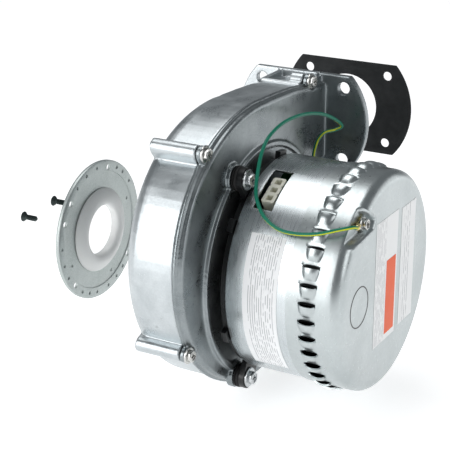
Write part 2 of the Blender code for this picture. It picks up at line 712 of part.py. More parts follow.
def earth_route():
    """Smooth line through the route, from one crimp to the other."""
    first = (EARTH_CAP[0] - 7.6, EARTH_CAP[1] + 0.9)
    last = (EARTH_BOSS[0] + 0.3, EARTH_BOSS[1] + 9.6)
    knots = [Vector((POCKET_FLOOR + 2.3, *first))]
    knots += [Vector((x, *polar(r, a))) for x, r, a in EARTH_ROUTE]
    knots += [Vector((MOTOR_FACE + 4.9, last[0], last[1]))]
    padded = [2 * knots[0] - knots[1]] + knots + [2 * knots[-1] - knots[-2]]
    dense = []
    for p0, p1, p2, p3 in zip(padded, padded[1:], padded[2:], padded[3:]):
        for i in range(24):
            t = i / 24
            dense.append(0.5 * ((2 * p1) + (p2 - p0) * t + (2 * p0 - 5 * p1 + 4 * p2 - p3) * t * t
                                + (3 * p1 - p0 - 3 * p2 + p3) * t ** 3))
    dense.append(knots[-1])
    spacing = 4.6
    path, walked = [dense[0]], 0.0
    for a, b in zip(dense, dense[1:]):
        walked += (b - a).length
        if walked >= spacing:
            path.append(b)
            walked = 0.0
    path[-1] = dense[-1]
    return path


def build_earth_wire():
    curve = bpy.data.curves.new("wire", 'CURVE')
    curve.dimensions = '3D'
    curve.bevel_depth = 1.15 * MM
    curve.bevel_resolution = 2
    curve.use_fill_caps = True
    points = earth_route()
    line = curve.splines.new('POLY')
    line.points.add(len(points) - 1)
    for spot, p in zip(line.points, points):
        spot.co = (*(p * MM), 1.0)
    obj = bpy.data.objects.new("wire", curve)
    bpy.context.scene.collection.objects.link(obj)
    return obj


# ---------------------------------------------------------------- assembly
def build():
    for obj in list(bpy.data.objects):
        bpy.data.objects.remove(obj, do_unlink=True)

    cast = material("cast_aluminium", (0.62, 0.63, 0.64), 0.85, 0.45)
    lid = material("cast_aluminium_lid", (0.55, 0.56, 0.57), 0.85, 0.40)
    zinc = material("zinc_plated_steel", (0.70, 0.71, 0.72), 1.0, 0.30)
    cap_steel = material("cap_steel", (0.72, 0.73, 0.74), 1.0, 0.28)
    plate_zinc = material("plate_zinc", (0.48, 0.49, 0.50), 0.9, 0.45)
    white = material("nozzle_plastic", (0.88, 0.88, 0.86), 0.0, 0.40)
    black_steel = material("black_steel", (0.03, 0.03, 0.03), 0.6, 0.40)
    bracket_black = material("bracket_black", (0.02, 0.02, 0.02), 0.4, 0.45)
    rubber = material("isolator_rubber", (0.02, 0.02, 0.02), 0.0, 0.80)
    gasket_mat = material("gasket_fibre", (0.02, 0.02, 0.022), 0.0, 0.85)
    screw_steel = material("screw_steel", (0.60, 0.60, 0.58), 1.0, 0.35)
    bracket_screw = material("bracket_screw_steel", (0.35, 0.35, 0.35), 1.0, 0.35)
    impeller_mat = material("impeller_aluminium", (0.60, 0.61, 0.63), 0.9, 0.35)
    shaft_steel = material("shaft_steel", (0.55, 0.55, 0.56), 1.0, 0.20)
    bearing_steel = material("bearing_steel", (0.65, 0.65, 0.66), 1.0, 0.15)
    lamination = material("lamination_steel", (0.30, 0.30, 0.31), 0.8, 0.50)
    copper = material("copper_winding", (0.60, 0.25, 0.10), 0.9, 0.35)
    magnet = material("ferrite_magnet", (0.10, 0.10, 0.10), 0.3, 0.55)
    board_green = material("board_laminate", (0.03, 0.20, 0.08), 0.0, 0.45)
    sleeve = material("capacitor_sleeve", (0.04, 0.05, 0.10), 0.1, 0.35)
    nylon = material("connector_nylon", (0.85, 0.85, 0.80), 0.0, 0.45)
    brass = material("pin_brass", (0.75, 0.58, 0.25), 1.0, 0.25)
    fan_plastic = material("fan_plastic", (0.05, 0.05, 0.05), 0.0, 0.50)
    paper = material("label_white", (0.88, 0.88, 0.87), 0.0, 0.55)
    orange = material("label_orange", (0.85, 0.28, 0.08), 0.0, 0.55)
    wire_green = material("wire_green", (0.03, 0.30, 0.12), 0.0, 0.40)
    seal_mat = material("seal_felt", (0.15, 0.14, 0.12), 0.0, 0.90)

    origin = (-FLANGE_X, -(FLANGE_BACK + FLANGE_THICK), -FLANGE_Z)
    fan = empty("fan_frame", None, origin)
    rotor = empty("rotor_axis", fan)
    plate_slide = empty("inlet_plate_slide", fan, (PLATE_FACE, 0, -PLATE_DROP))

    def add(obj, name, mat, at=(0, 0, 0), parent=fan, sharp=35):
        return finish(obj, name, mat, parent, at, sharp)

    add(build_intake_housing(), "intake_housing", cast, (SPLIT_X, 0, 0))
    add(build_motor_housing(), "motor_side_housing", lid, (SPLIT_X, 0, 0))
    spots = [(*polar(r, a), -33.0) for a, r in HOUSING_SCREWS] + [(*NECK_SCREW, -24.5)]
    for i, (y, z, tip) in enumerate(spots, 1):
        add(solid(add_hex_screw, y, z, BOSS_FACE + GAP, tip), f"housing_screw_{i}", screw_steel,
            (BOSS_FACE, y, z))
    add(turned([(-13.8, SHAFT_R + GAP + 0.2), (-13.8, SEAL_BORE - GAP), (-11.2, SEAL_BORE - GAP),
                (-11.2, SHAFT_R + GAP + 0.2)], 24), "shaft_seal", seal_mat, (-12.5, 0, 0))

    for i, (y, z) in enumerate((polar(LUG_R, a) for a in LUG_ANGLES), 1):
        add(turned([(-7.9, 3.2), (-7.9, 7.6), (-6.1, 8.2), (-4.3, 7.6), (-4.3, 3.2)], 12, y, z),
            f"isolator_{i}", rubber, (-6, y, z))
        add(solid(add_hex_screw, y, z, 0.0, -14.0, 4.4, 6.6, 2.0, 4.0), f"bracket_screw_{i}",
            bracket_screw, (0, y, z))
    add(build_motor_frame(), "motor_frame", bracket_black)
    for place, x in BEARINGS:
        add(bearing_ring(x, False), f"bearing_outer_{place}", bearing_steel, (x, 0, 0))
    add(build_stator(), "stator_core", lamination, (22, 0, 0))
    add(build_winding(), "stator_winding", copper, (22, 0, 0))
    add(build_rear_bracket(), "rear_bracket", bracket_black, (38.3, 0, 0))
    add(build_shell(), "motor_shell", zinc)
    add(build_cap(), "end_cap", cap_steel, (CAP_START, 0, 0))

    add(many([block(-30, 30, BOARD_R, BOARD_R + 1.6, 5.0, 38.0)]), "control_board", board_green,
        (20, 0, 0))
    for i, t in enumerate((-18, 18), 1):
        add(solid(add_upright, 30, t, BOARD_R + 1.6 + GAP, 63.0, 4.5), f"capacitor_{i}", sleeve,
            (30, 0, 0))
    add(build_connector(), "connector_housing", nylon, (14, 0, 0))
    for i, t in enumerate(PIN_ROW, 1):
        add(many([block(t - 0.6, t + 0.6, BOARD_R + 4.9 + GAP, 64.5, 13.2, 14.4)]),
            f"connector_pin_{i}", brass, (14, 0, 0))

    add(solid(add_wrap, 12.3, 35.6, 145, 223, SHELL_R + GAP, 0.25, 13), "shell_label", paper)
    face = CAP_END + GAP
    add(prism(box_outline(-20, 13.5, -38.5, 44.5), face, face + 0.25), "cap_label_main", paper,
        (CAP_END, 0, 0))
    add(prism(box_outline(19.5, 42, -36.7, 43.2), face, face + 0.25), "cap_label_side", paper,
        (CAP_END, 0, 0))
    top = face + 0.25 + GAP
    add(prism(box_outline(-2.8, 11.5, -34.6, 15.2), top, top + 0.2), "cap_label_band", orange,
        (CAP_END, 0, 0))

    add(solid(add_hex_screw, *EARTH_CAP, POCKET_FLOOR + 0.9 + 2 * GAP, 68.0, 3.6, 4.4, 1.8, 3.9),
        "earth_screw_cap", screw_steel, (POCKET_FLOOR, *EARTH_CAP))
    add(solid(add_hex_screw, *EARTH_BOSS, MOTOR_FACE + 3.9 + 2 * GAP, -11.6, 3.6, 4.4, 1.6, 3.4),
        "earth_screw_housing", screw_steel, (MOTOR_FACE, *EARTH_BOSS))

    add(turned([(-37.0, 0), (-37.0, 3.4), (-36.4, SHAFT_R), (66.4, SHAFT_R), (67.0, 3.4),
                (67.0, 0)], 20), "shaft", shaft_steel, parent=rotor)
    add(build_wheel(), "impeller_wheel", impeller_mat, (-17, 0, 0), rotor)
    add(build_shroud(), "impeller_shroud", impeller_mat, (-45, 0, 0), rotor)
    nut = combine(prism(circle(0, 0, 7.4, 6), -35.3, -31.3),
                  [prism(circle(0, 0, SHAFT_R + GAP, 16), -40, -28)], 'DIFFERENCE')
    add(nut, "impeller_nut", screw_steel, (-33, 0, 0), rotor)
    for place, x in BEARINGS:
        add(bearing_ring(x, True), f"bearing_inner_{place}", bearing_steel, (x, 0, 0), rotor)
        add(build_ball_set(x), f"bearing_balls_{place}", bearing_steel, (x, 0, 0), rotor)
    add(turned([(10, SHAFT_R + GAP), (10, 18.0), (34, 18.0), (34, SHAFT_R + GAP)], 28),
        "rotor_core", lamination, (22, 0, 0), rotor)
    add(turned([(9, 18.3), (9, 23.8), (35, 23.8), (35, 18.3)], 28), "rotor_magnet", magnet,
        (22, 0, 0), rotor)
    add(build_cooling_fan(), "cooling_fan", fan_plastic, (50, 0, 0), rotor)

    for name, x, spot, angle, hole in (
            ("ring_terminal_cap", POCKET_FLOOR + GAP, EARTH_CAP, 174.0, 1.8),
            ("ring_terminal_housing", MOTOR_FACE + 3 + GAP, EARTH_BOSS, 88.0, 1.6)):
        ring = combine(solid(add_terminal, x, *spot, angle),
                       [prism(circle(*spot, hole + GAP, 12), x - 5, x + 5)], 'DIFFERENCE')
        add(ring, name, brass, (x, *spot))
    wire = build_earth_wire()
    wire.name = "earth_wire"
    wire.parent = fan
    wire.data.materials.append(wire_green)

    add(build_inlet_plate(), "inlet_plate", plate_zinc, parent=plate_slide)
    add(build_nozzle(), "inlet_nozzle", white, parent=plate_slide)
    for name, angle, tip in INLET_SCREWS:
        y, z = polar(SCREW_RING, angle)
        slide = empty(f"{name}_slide", fan, (tip, y, z - PLATE_DROP))
        add(solid(add_countersunk), name, black_steel, parent=slide)
    add(build_gasket(), "outlet_gasket", gasket_mat,
        (FLANGE_X, FLANGE_BACK + FLANGE_THICK + GASKET_SHIFT[1], FLANGE_Z))


build()
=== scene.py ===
"""Looks of the boiler combustion fan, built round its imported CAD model.

Pieces are shaped in the fan's own frame, in millimetres: x along the shaft from the left rim of the
motor cover toward the end cap, y the way the air leaves, z up, with the shaft on y = z = 0.
Angles are degrees about the shaft from +y toward +z. place() moves a finished piece to the row
frame.
"""

import json
import math

import bmesh
import bpy
from mathutils import Matrix, Vector


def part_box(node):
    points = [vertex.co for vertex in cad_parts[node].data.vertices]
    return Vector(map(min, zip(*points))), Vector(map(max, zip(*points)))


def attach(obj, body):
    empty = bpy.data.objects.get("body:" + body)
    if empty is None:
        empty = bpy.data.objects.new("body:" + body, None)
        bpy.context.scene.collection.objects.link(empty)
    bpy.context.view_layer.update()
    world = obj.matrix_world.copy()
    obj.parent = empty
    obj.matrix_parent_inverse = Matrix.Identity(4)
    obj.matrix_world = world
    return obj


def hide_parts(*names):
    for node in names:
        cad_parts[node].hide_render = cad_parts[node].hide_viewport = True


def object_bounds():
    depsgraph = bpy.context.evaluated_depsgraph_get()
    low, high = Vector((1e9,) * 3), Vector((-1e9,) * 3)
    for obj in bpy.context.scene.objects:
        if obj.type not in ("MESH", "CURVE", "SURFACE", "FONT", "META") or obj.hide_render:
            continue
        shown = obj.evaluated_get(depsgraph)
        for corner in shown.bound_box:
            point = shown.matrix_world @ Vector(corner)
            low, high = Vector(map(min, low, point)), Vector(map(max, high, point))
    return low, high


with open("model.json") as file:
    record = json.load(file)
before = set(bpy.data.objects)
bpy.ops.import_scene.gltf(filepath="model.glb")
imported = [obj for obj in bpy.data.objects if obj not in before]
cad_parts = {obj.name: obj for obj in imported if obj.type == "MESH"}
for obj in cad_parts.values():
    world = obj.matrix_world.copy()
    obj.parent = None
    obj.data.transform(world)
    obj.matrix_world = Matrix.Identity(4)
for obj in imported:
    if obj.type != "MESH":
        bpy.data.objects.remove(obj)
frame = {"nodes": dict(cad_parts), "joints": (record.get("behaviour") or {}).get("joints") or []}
cad_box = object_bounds()
nodes = frame["nodes"]

MM = 0.001
SPIN = next(joint for joint in frame["joints"] if joint["name"] == "rotor_spin")
FAN = Vector(SPIN["pos_m"])
TO_ROW = Matrix.Translation(FAN) @ Matrix.Scale(MM, 4)

# Camera, from the fan's own origin
CAMERA_AT = (386.0, -754.1, 337.1)
CAMERA_AZIMUTH = 29.4
CAMERA_ELEVATION = 20.3
CAMERA_LENS = 112.1

# Motor cover and end cap
SHELL_R = 70.0
SHELL_SHEET = 1.2
SHELL_END = 41.5
CAP_R = 70.7
CAP_START = 41.8
CAP_END = 77.5
CAP_FILLET = 7.4
CAP_SHEET = 1.0
LOUVRES = 39
LOUVRE_MIDDLE = 55.7
LOUVRE_HALF = 5.8
LOUVRE_LIFT = 2.6
LOUVRE_DENT = 2.1
LOUVRE_SWEEP = 6.0
DENT_SWEEP = 2.2
POCKET = [(-23.0, 48.6), (-26.0, 44.0), (-46.0, 42.0), (-66.0, 41.0), (-54.0, 70.0), (-36.0, 58.0)]
POCKET_FLOOR = 72.0
EARTH_CAP = (-33.5, 49.0)
EARTH_BOSS = (63.0, 41.5)

# Snail housing
SPLIT_X = -17.0
SPLIT_SHADOW = 0.45
GAP = 0.3
INTAKE_FACE = -54.0
MOTOR_FACE = -11.0
WALL = 3.0
LIP = 1.6
INLET_BORE = 36.0
SEAL_BORE = 12.0
SCROLL_MAX = 108.0
SCROLL_TOP = 103.6
SCROLL_MIN = 82.5
SCROLL_TONGUE = 78.0
HOUSING_SCREWS = [(128.2, 113.0), (200.5, 97.0), (283.0, 86.5), (340.0, 84.5)]
NECK_SCREW = (71.5, 101.4)
BOSS_BACK = -49.0
NECK_BOSS_BACK = -27.0
BOSS_FACE = -13.6
BOSS_HALF = 4.9
SCREW_BORE = 2.4
SPOT_FACE_R = 5.7
NECK_X = (-48.0, -10.0)

# Outlet flange and gasket
FLANGE_BACK = 91.0
FLANGE_THICK = 5.0
FLANGE_X = -29.0
FLANGE_Z = 68.6
FLANGE_R = 49.0
FLANGE_FLAT = 33.7
BOLT_X = 31.2
BOLT_Z = 25.2
DUCT_HALF_X = 16.0
DUCT_HALF_Z = 22.0
DUCT_CORNER = 12
DUCT_RISE = 0.4
FLANGE_BOLT_R = 4.3
GASKET_BOLT_R = 3.4
GASKET_PORT_R = 23.3

# Motor carrier, inlet plate and impeller
LUG_ANGLES = (1.5, 121.5, 241.5)
LUG_R = 78.0
SHAFT_R = 4.0
PLATE_FACE = -138.5
PLATE_DROP = 4.5
PLATE_R = 49.0
PLATE_THICK = 3.0
PLATE_STEP_R = 41.2
PLATE_STEP = 0.8
NOZZLE_R = 17.6
SCREW_RING = 44.0
PLATE_HOLES = (74.0, 139.0, 158.0, 224.0, 319.0, 338.0)
INLET_SCREWS = (("upper", PLATE_HOLES[1], -142.0), ("lower", PLATE_HOLES[2], -162.0))
IMPELLER_R = 64.0
BLADES = 9
BOARD_ANGLE = 118.7
BOARD_R = 53.0
PIN_ROW = (-6.9, -0.2, 6.5)


# ---------------------------------------------------------------- geometry helpers
def polar(radius, degrees):
    a = math.radians(degrees)
    return radius * math.cos(a), radius * math.sin(a)


def ease(start, end, t):
    t = min(max(t, 0.0), 1.0)
    return start + (end - start) * t * t * (3 - 2 * t)


def circle(y, z, radius, count=32, phase=0.0):
    return [(y + radius * math.cos(math.tau * i / count + phase),
             z + radius * math.sin(math.tau * i / count + phase)) for i in range(count)]


def as_object(bm, name="piece"):
    bmesh.ops.recalc_face_normals(bm, faces=bm.faces)
    mesh = bpy.data.meshes.new(name)
    bm.to_mesh(mesh)
    bm.free()
    obj = bpy.data.objects.new(name, mesh)
    bpy.context.scene.collection.objects.link(obj)
    return obj


def bake(obj, flatten=0.0):
    """Keep the shape the modifiers give as the object's own mesh."""
    graph = bpy.context.evaluated_depsgraph_get()
    mesh = bpy.data.meshes.new_from_object(obj.evaluated_get(graph))
    if flatten:
        bm = bmesh.new()
        bm.from_mesh(mesh)
        bmesh.ops.dissolve_limit(bm, angle_limit=math.radians(flatten), verts=bm.verts,
                                 edges=bm.edges)
        bm.to_mesh(mesh)
        bm.free()
    obj.modifiers.clear()
    obj.data = mesh
    return obj


def combine(obj, tools, operation, solver='EXACT'):
    """Union or difference with each tool in turn, on flat faces only."""
    obj.modifiers.new("flat faces", 'TRIANGULATE')
    for tool in tools:
        mod = obj.modifiers.new("combine", 'BOOLEAN')
        mod.operation = operation
        mod.solver = solver
        mod.object = tool
    bake(obj, 0.3)
    for tool in tools:
        bpy.data.objects.remove(tool, do_unlink=True)
    return obj


def joined(*parts):
    """One object that holds several closed parts."""
    bm = bmesh.new()
    for part in parts:
        bm.from_mesh(part.data)
        bpy.data.objects.remove(part, do_unlink=True)
    return as_object(bm)


def cast_skin(obj, voxel=0.62, rounds=3, keep=0.30):
    """Turn a crisp solid into one with the small fillets of a casting, in the solids' box."""
    low, high = [TO_ROW.inverted() @ Vector(corner) for corner in cad_box]
    skin = obj.modifiers.new("skin", 'REMESH')
    skin.mode = 'VOXEL'
    skin.voxel_size = voxel
    soft = obj.modifiers.new("soft", 'SMOOTH')
    soft.factor = 0.5
    soft.iterations = rounds
    thin = obj.modifiers.new("thin", 'DECIMATE')
    thin.ratio = keep
    bake(obj)
    for v in obj.data.vertices:
        v.co = [min(max(v.co[i], low[i]), high[i]) for i in range(3)]
    return obj


def edge_round(obj, width, segments=2, angle=30):
    mod = obj.modifiers.new("edges", 'BEVEL')
    mod.width = width
    mod.segments = segments
    mod.limit_method = 'ANGLE'
    mod.angle_limit = math.radians(angle)
    return bake(obj)


def add_turned(bm, profile, segments=96, y=0.0, z=0.0):
    """Turn a closed (x, r) profile round an axis along x; r = 0 points close on the axis."""
    rings = []
    for x, r in profile:
        if r == 0:
            rings.append([bm.verts.new((x, y, z))])
        else:
            rings.append([bm.verts.new((x, b, c)) for b, c in circle(y, z, r, segments)])
    for a, b in zip(rings, rings[1:] + rings[:1]):
        if len(a) == 1 and len(b) == 1:
            continue
        for i in range(segments):
            j = (i + 1) % segments
            loop = [a[i % len(a)], a[j % len(a)], b[j % len(b)], b[i % len(b)]]
            bm.faces.new([v for n, v in enumerate(loop) if v not in loop[:n]])


def add_loft(bm, sections):
    rings = [[bm.verts.new(p) for p in section] for section in sections]
    size = len(rings[0])
    for a, b in zip(rings, rings[1:]):
        for i in range(size):
            j = (i + 1) % size
            bm.faces.new((a[i], a[j], b[j], b[i]))
    bm.faces.new(rings[0])
    bm.faces.new(rings[-1])


def add_prism(bm, outline, x0, x1):
    add_loft(bm, [[(x, y, z) for y, z in outline] for x in (x0, x1)])


def add_prism_y(bm, outline, y0, y1):
    add_loft(bm, [[(x, y, z) for x, z in outline] for y in (y0, y1)])


def solid(builder, *args, **kwargs):
    bm = bmesh.new()
    builder(bm, *args, **kwargs)
    return as_object(bm)


def turned(profile, segments=96, y=0.0, z=0.0):
    return solid(add_turned, profile, segments, y, z)


def prism(outline, x0, x1):
    return solid(add_prism, outline, x0, x1)


def many(adds):
    bm = bmesh.new()
    for builder, args in adds:
        builder(bm, *args)
    return as_object(bm)


def box_outline(y0, y1, z0, z1):
    return [(y0, z0), (y1, z0), (y1, z1), (y0, z1)]


def rounded_outline(half_a, half_b, corner, a0=0.0, b0=0.0, steps=8):
    points = []
    for quadrant, (sa, sb) in enumerate(((1, 1), (-1, 1), (-1, -1), (1, -1))):
        for i in range(steps + 1):
            t = math.radians(90 * quadrant + 90 * i / steps)
            points.append((a0 + sa * (half_a - corner) + corner * math.cos(t),
                           b0 + sb * (half_b - corner) + corner * math.sin(t)))
    return points


def turned_about(points, degrees, shift_r=0.0):
    """Rotate a (tangential, radial) outline so its radial side points at an angle."""
    a = math.radians(degrees)
    ry, rz = math.cos(a), math.sin(a)
    return [((r + shift_r) * ry - t * rz, (r + shift_r) * rz + t * ry) for t, r in points]


def place(obj, name, body, mat, stands_for=(), sharp=32):
    """Name a finished piece, move it to the row frame, shade it and ride it on its body."""
    obj.name = name
    obj.data.name = name
    obj.data.transform(TO_ROW)
    obj.data.materials.clear()
    obj.data.materials.append(mat)
    obj.data.shade_smooth()
    if sharp:
        obj.data.set_sharp_from_angle(angle=math.radians(sharp))
    if stands_for:
        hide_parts(*stands_for)
    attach(obj, body)
    return obj


# ---------------------------------------------------------------- materials
class Finish:
    """A Principled material built up from the piece's own coordinates in millimetres."""

    def __init__(self, name, metallic, roughness, **sockets):
        self.material = bpy.data.materials.new(name)
        self.material.use_nodes = True
        self.tree = self.material.node_tree
        self.shader = self.tree.nodes["Principled BSDF"]
        self.set(self.shader, "Metallic", metallic)
        self.set(self.shader, "Roughness", roughness)
        for socket, value in sockets.items():
            self.set(self.shader, socket.replace("_", " "), value)
        coordinates = self.add("ShaderNodeTexCoord")
        self.mm = self.scaled(coordinates.outputs["Object"], (1000, 1000, 1000))
        self.normal = None

    def add(self, kind):
        return self.tree.nodes.new(kind)

    def set(self, node, socket, value):
        node.inputs[socket].default_value = value

    def link(self, source, target):
        self.tree.links.new(source, target)

    def scaled(self, vector, factors):
        node = self.add("ShaderNodeVectorMath")
        node.operation = 'MULTIPLY'
        self.link(vector, node.inputs[0])
        node.inputs[1].default_value = factors
        return node.outputs[0]

    def noise(self, size, detail=3.0, rough=0.55, stretch=(1, 1, 1), warp=0.0):
        """Noise whose features are about size millimetres across."""
        node = self.add("ShaderNodeTexNoise")
        self.link(self.scaled(self.mm, [s / size for s in stretch]), node.inputs["Vector"])
        self.set(node, "Scale", 1.0)
        self.set(node, "Detail", detail)
        self.set(node, "Roughness", rough)
        self.set(node, "Distortion", warp)
        return node.outputs["Fac"]

    def span(self, value, low, high, to_low=0.0, to_high=1.0):
        node = self.add("ShaderNodeMapRange")
        self.link(value, node.inputs["Value"])
        for socket, number in (("From Min", low), ("From Max", high), ("To Min", to_low),
                               ("To Max", to_high)):
            self.set(node, socket, number)
        return node.outputs["Result"]

    def math(self, operation, a, b=None):
        node = self.add("ShaderNodeMath")
        node.operation = operation
        for socket, value in zip(node.inputs, (a, b)):
            if value is None:
                continue
            if isinstance(value, (int, float)):
                socket.default_value = value
            else:
                self.link(value, socket)
        return node.outputs[0]

    def mix(self, factor, a, b):
        node = self.add("ShaderNodeMix")
        node.data_type = 'RGBA'
        self.link(factor, node.inputs["Factor"])
        for socket, value in (("A", a), ("B", b)):
            target = [s for s in node.inputs if s.name == socket and s.type == 'RGBA'][0]
            if isinstance(value, tuple):
                target.default_value = (*value, 1.0)
            else:
                self.link(value, target)
        return [s for s in node.outputs if s.type == 'RGBA'][0]

    def colour(self, source):
        self.link(source, self.shader.inputs["Base Color"])

    def roughness(self, source):
        self.link(source, self.shader.inputs["Roughness"])

    def relief(self, height, depth, strength=1.0):
        """Bump of that depth in millimetres, on top of any before it."""
        node = self.add("ShaderNodeBump")
        self.set(node, "Strength", strength)
        self.set(node, "Distance", depth * MM)
        self.link(height, node.inputs["Height"])
        if self.normal is not None:
            self.link(self.normal, node.inputs["Normal"])
        self.normal = node.outputs["Normal"]
        self.link(self.normal, self.shader.inputs["Normal"])


def cast_metal(name, dark, light, low, high):
    """As-cast aluminium: cloudy tone, flow marks, fine grain and a few stains."""
    f = Finish(name, 0.92, low)
    clouds = f.noise(22, 4, 0.6, warp=0.4)
    grain = f.noise(1.1, 3)
    tone = f.mix(f.span(clouds, 0.3, 0.7), dark, light)
    stains = f.span(f.noise(9, 5, 0.7), 0.62, 0.74)
    tone = f.mix(stains, tone, tuple(c * 0.72 for c in dark))
    f.colour(f.mix(f.span(grain, 0.35, 0.75, 0.0, 0.22), tone, tuple(c * 0.8 for c in dark)))
    f.roughness(f.math('ADD', f.span(clouds, 0.3, 0.7, low, high),
                       f.span(grain, 0.3, 0.7, -0.05, 0.05)))
    f.relief(grain, 0.05, 0.5)
    f.relief(f.noise(6, 3), 0.12, 0.35)
    return f.material


def sheet_metal(name, dark, light, low, high, streak=(1.0, 0.04, 0.04), depth=0.012):
    """Plated sheet with faint drawing streaks and handling marks."""
    f = Finish(name, 1.0, low)
    streaks = f.noise(0.7, 4, 0.6, streak)
    clouds = f.noise(30, 3)
    tone = f.mix(f.span(clouds, 0.3, 0.7), dark, light)
    f.colour(f.mix(f.span(streaks, 0.3, 0.8, 0.0, 0.25), tone, tuple(c * 0.85 for c in dark)))
    f.roughness(f.math('ADD', f.span(streaks, 0.3, 0.7, low, high),
                       f.span(f.noise(14, 4), 0.45, 0.8, 0.0, 0.05)))
    f.relief(streaks, depth, 0.6)
    return f.material


def plain_metal(name, colour, low, high, size=2.0, metallic=1.0, depth=0.01):
    f = Finish(name, metallic, low)
    marks = f.noise(size, 4, 0.6)
    f.colour(f.mix(f.span(marks, 0.3, 0.75), tuple(c * 0.86 for c in colour), colour))
    f.roughness(f.span(marks, 0.3, 0.7, low, high))
    f.relief(marks, depth, 0.5)
    return f.material


def moulded(name, colour, low, high, size=1.2, depth=0.02, shade=0.85, **sockets):
    """Plastic, rubber or paint: near even colour with a fine moulded or sprayed texture."""
    f = Finish(name, 0.0, low, **sockets)
    grain = f.noise(size, 3)
    clouds = f.noise(size * 12, 3)
    dull = tuple(c * shade for c in colour)
    f.colour(f.mix(f.span(clouds, 0.3, 0.7, 0.0, 0.7), colour, dull))
    f.roughness(f.span(clouds, 0.3, 0.7, low, high))
    f.relief(grain, depth, 0.6)
    return f.material


def speckled_zinc():
    """Dull plated plate with fine light and dark specks."""
    f = Finish("plate_zinc", 0.85, 0.45)
    fine = f.noise(0.9, 4, 0.7)
    clouds = f.noise(16, 4)
    tone = f.mix(f.span(clouds, 0.3, 0.7), (0.36, 0.405, 0.395), (0.46, 0.505, 0.495))
    f.colour(f.mix(f.span(fine, 0.35, 0.7), tone, (0.56, 0.60, 0.59)))
    f.roughness(f.span(fine, 0.3, 0.7, 0.38, 0.55))
    f.relief(fine, 0.03, 0.5)
    return f.material


def printed_film(name, colour, ink, along, across, low, high, pitch, share):
    """Label film with rows of plain ruled bars; no lettering."""
    f = Finish(name, 0.0, 0.38, Coat_Weight=0.15)
    parts = f.add("ShaderNodeSeparateXYZ")
    f.link(f.mm, parts.inputs[0])
    run = parts.outputs[across]
    rows = f.math('FRACT', f.math('DIVIDE', run, pitch))
    bar = f.math('LESS_THAN', rows, share)
    inside = f.math('MULTIPLY', f.math('GREATER_THAN', run, low), f.math('LESS_THAN', run, high))
    breaks = f.span(f.noise(4.6, 1, 0.4, tuple(1.0 if i == along else 2.6 for i in range(3))),
                    0.40, 0.46)
    ruled = f.math('MULTIPLY', f.math('MULTIPLY', bar, inside), breaks)
    film = f.mix(f.noise(9, 3), colour, tuple(c * 0.94 for c in colour))
    f.colour(f.mix(f.math('MULTIPLY', ruled, 0.55), film, ink))
    f.relief(f.noise(0.5, 2), 0.006, 0.5)
    return f.material


def wire_sleeve():
    """Green sleeve with one yellow stripe that winds slowly along it."""
    f = Finish("wire_green", 0.0, 0.42, Specular_IOR_Level=0.3)
    around = f.add("ShaderNodeAttribute")
    around.attribute_name = "stripe"
    stripe = f.math('LESS_THAN', around.outputs["Fac"], 0.16)
    green = f.mix(f.noise(3, 3), (0.0, 0.15, 0.088), (0.001, 0.21, 0.13))
    f.colour(f.mix(stripe, green, (0.55, 0.60, 0.02)))
    f.roughness(f.span(f.noise(1.0, 3), 0.3, 0.7, 0.36, 0.48))
    f.relief(f.noise(0.9, 2), 0.01, 0.5)
    return f.material


CAST = cast_metal("cast_aluminium", (0.44, 0.475, 0.49), (0.62, 0.655, 0.67), 0.28, 0.44)
# Darker copy of the same cast aluminium: painted shade for the dark reflections and the shade from
# the motor cover on the motor-side casting.
SHADED_CAST = cast_metal("cast_aluminium_lid", (0.21, 0.235, 0.245), (0.35, 0.38, 0.39), 0.24, 0.40)
ZINC = sheet_metal("zinc_plated_steel", (0.52, 0.56, 0.575), (0.64, 0.68, 0.695), 0.22, 0.34,
                   depth=0.002)
CAP = sheet_metal("cap_steel", (0.46, 0.50, 0.505), (0.54, 0.58, 0.585), 0.26, 0.36,
                  (0.5, 0.3, 0.3), 0.0015)
PLATE = speckled_zinc()
SCREW = plain_metal("screw_steel", (0.62, 0.62, 0.60), 0.16, 0.30)
BRACKET_SCREW = plain_metal("bracket_screw_steel", (0.60, 0.62, 0.63), 0.18, 0.32)
BLACK_SCREW = plain_metal("black_steel", (0.045, 0.06, 0.058), 0.34, 0.48, 1.4, 0.7, 0.02)
WHEEL = plain_metal("impeller_aluminium", (0.60, 0.61, 0.63), 0.30, 0.42, 3.0)
SHAFT = plain_metal("shaft_steel", (0.55, 0.55, 0.56), 0.16, 0.26, 0.8)
BEARING = plain_metal("bearing_steel", (0.65, 0.65, 0.66), 0.12, 0.22, 0.8)
LAMINATION = sheet_metal("lamination_steel", (0.24, 0.24, 0.25), (0.32, 0.32, 0.33), 0.45, 0.6,
                         (1.4, 0.02, 0.02), 0.05)
COPPER = plain_metal("copper_winding", (0.62, 0.26, 0.10), 0.30, 0.42, 0.8, 0.9, 0.05)
BRASS = plain_metal("pin_brass", (0.80, 0.66, 0.30), 0.22, 0.34, 1.2)
MAGNET = moulded("ferrite_magnet", (0.06, 0.06, 0.06), 0.45, 0.6)
BLACK = moulded("bracket_black", (0.006, 0.0065, 0.007), 0.26, 0.40, 0.9, 0.015, 0.9)
RUBBER = moulded("isolator_rubber", (0.008, 0.008, 0.008), 0.55, 0.75, 1.0, 0.03)
GASKET = moulded("gasket_fibre", (0.010, 0.012, 0.013), 0.72, 0.88, 0.7, 0.05, 0.8)
FELT = moulded("seal_felt", (0.10, 0.09, 0.08), 0.85, 0.95, 0.6, 0.12)
NOZZLE = moulded("nozzle_plastic", (0.80, 0.81, 0.80), 0.34, 0.46, 1.5, 0.01, 0.93,
                 Subsurface_Weight=0.25, Subsurface_Radius=(0.006, 0.006, 0.006),
                 Subsurface_Scale=0.5)
NYLON = moulded("connector_nylon", (0.78, 0.77, 0.66), 0.40, 0.52, 1.0, 0.015, 0.92,
                Subsurface_Weight=0.15, Subsurface_Radius=(0.003, 0.003, 0.002),
                Subsurface_Scale=0.5)
FAN_PLASTIC = moulded("fan_plastic", (0.03, 0.03, 0.03), 0.40, 0.55)
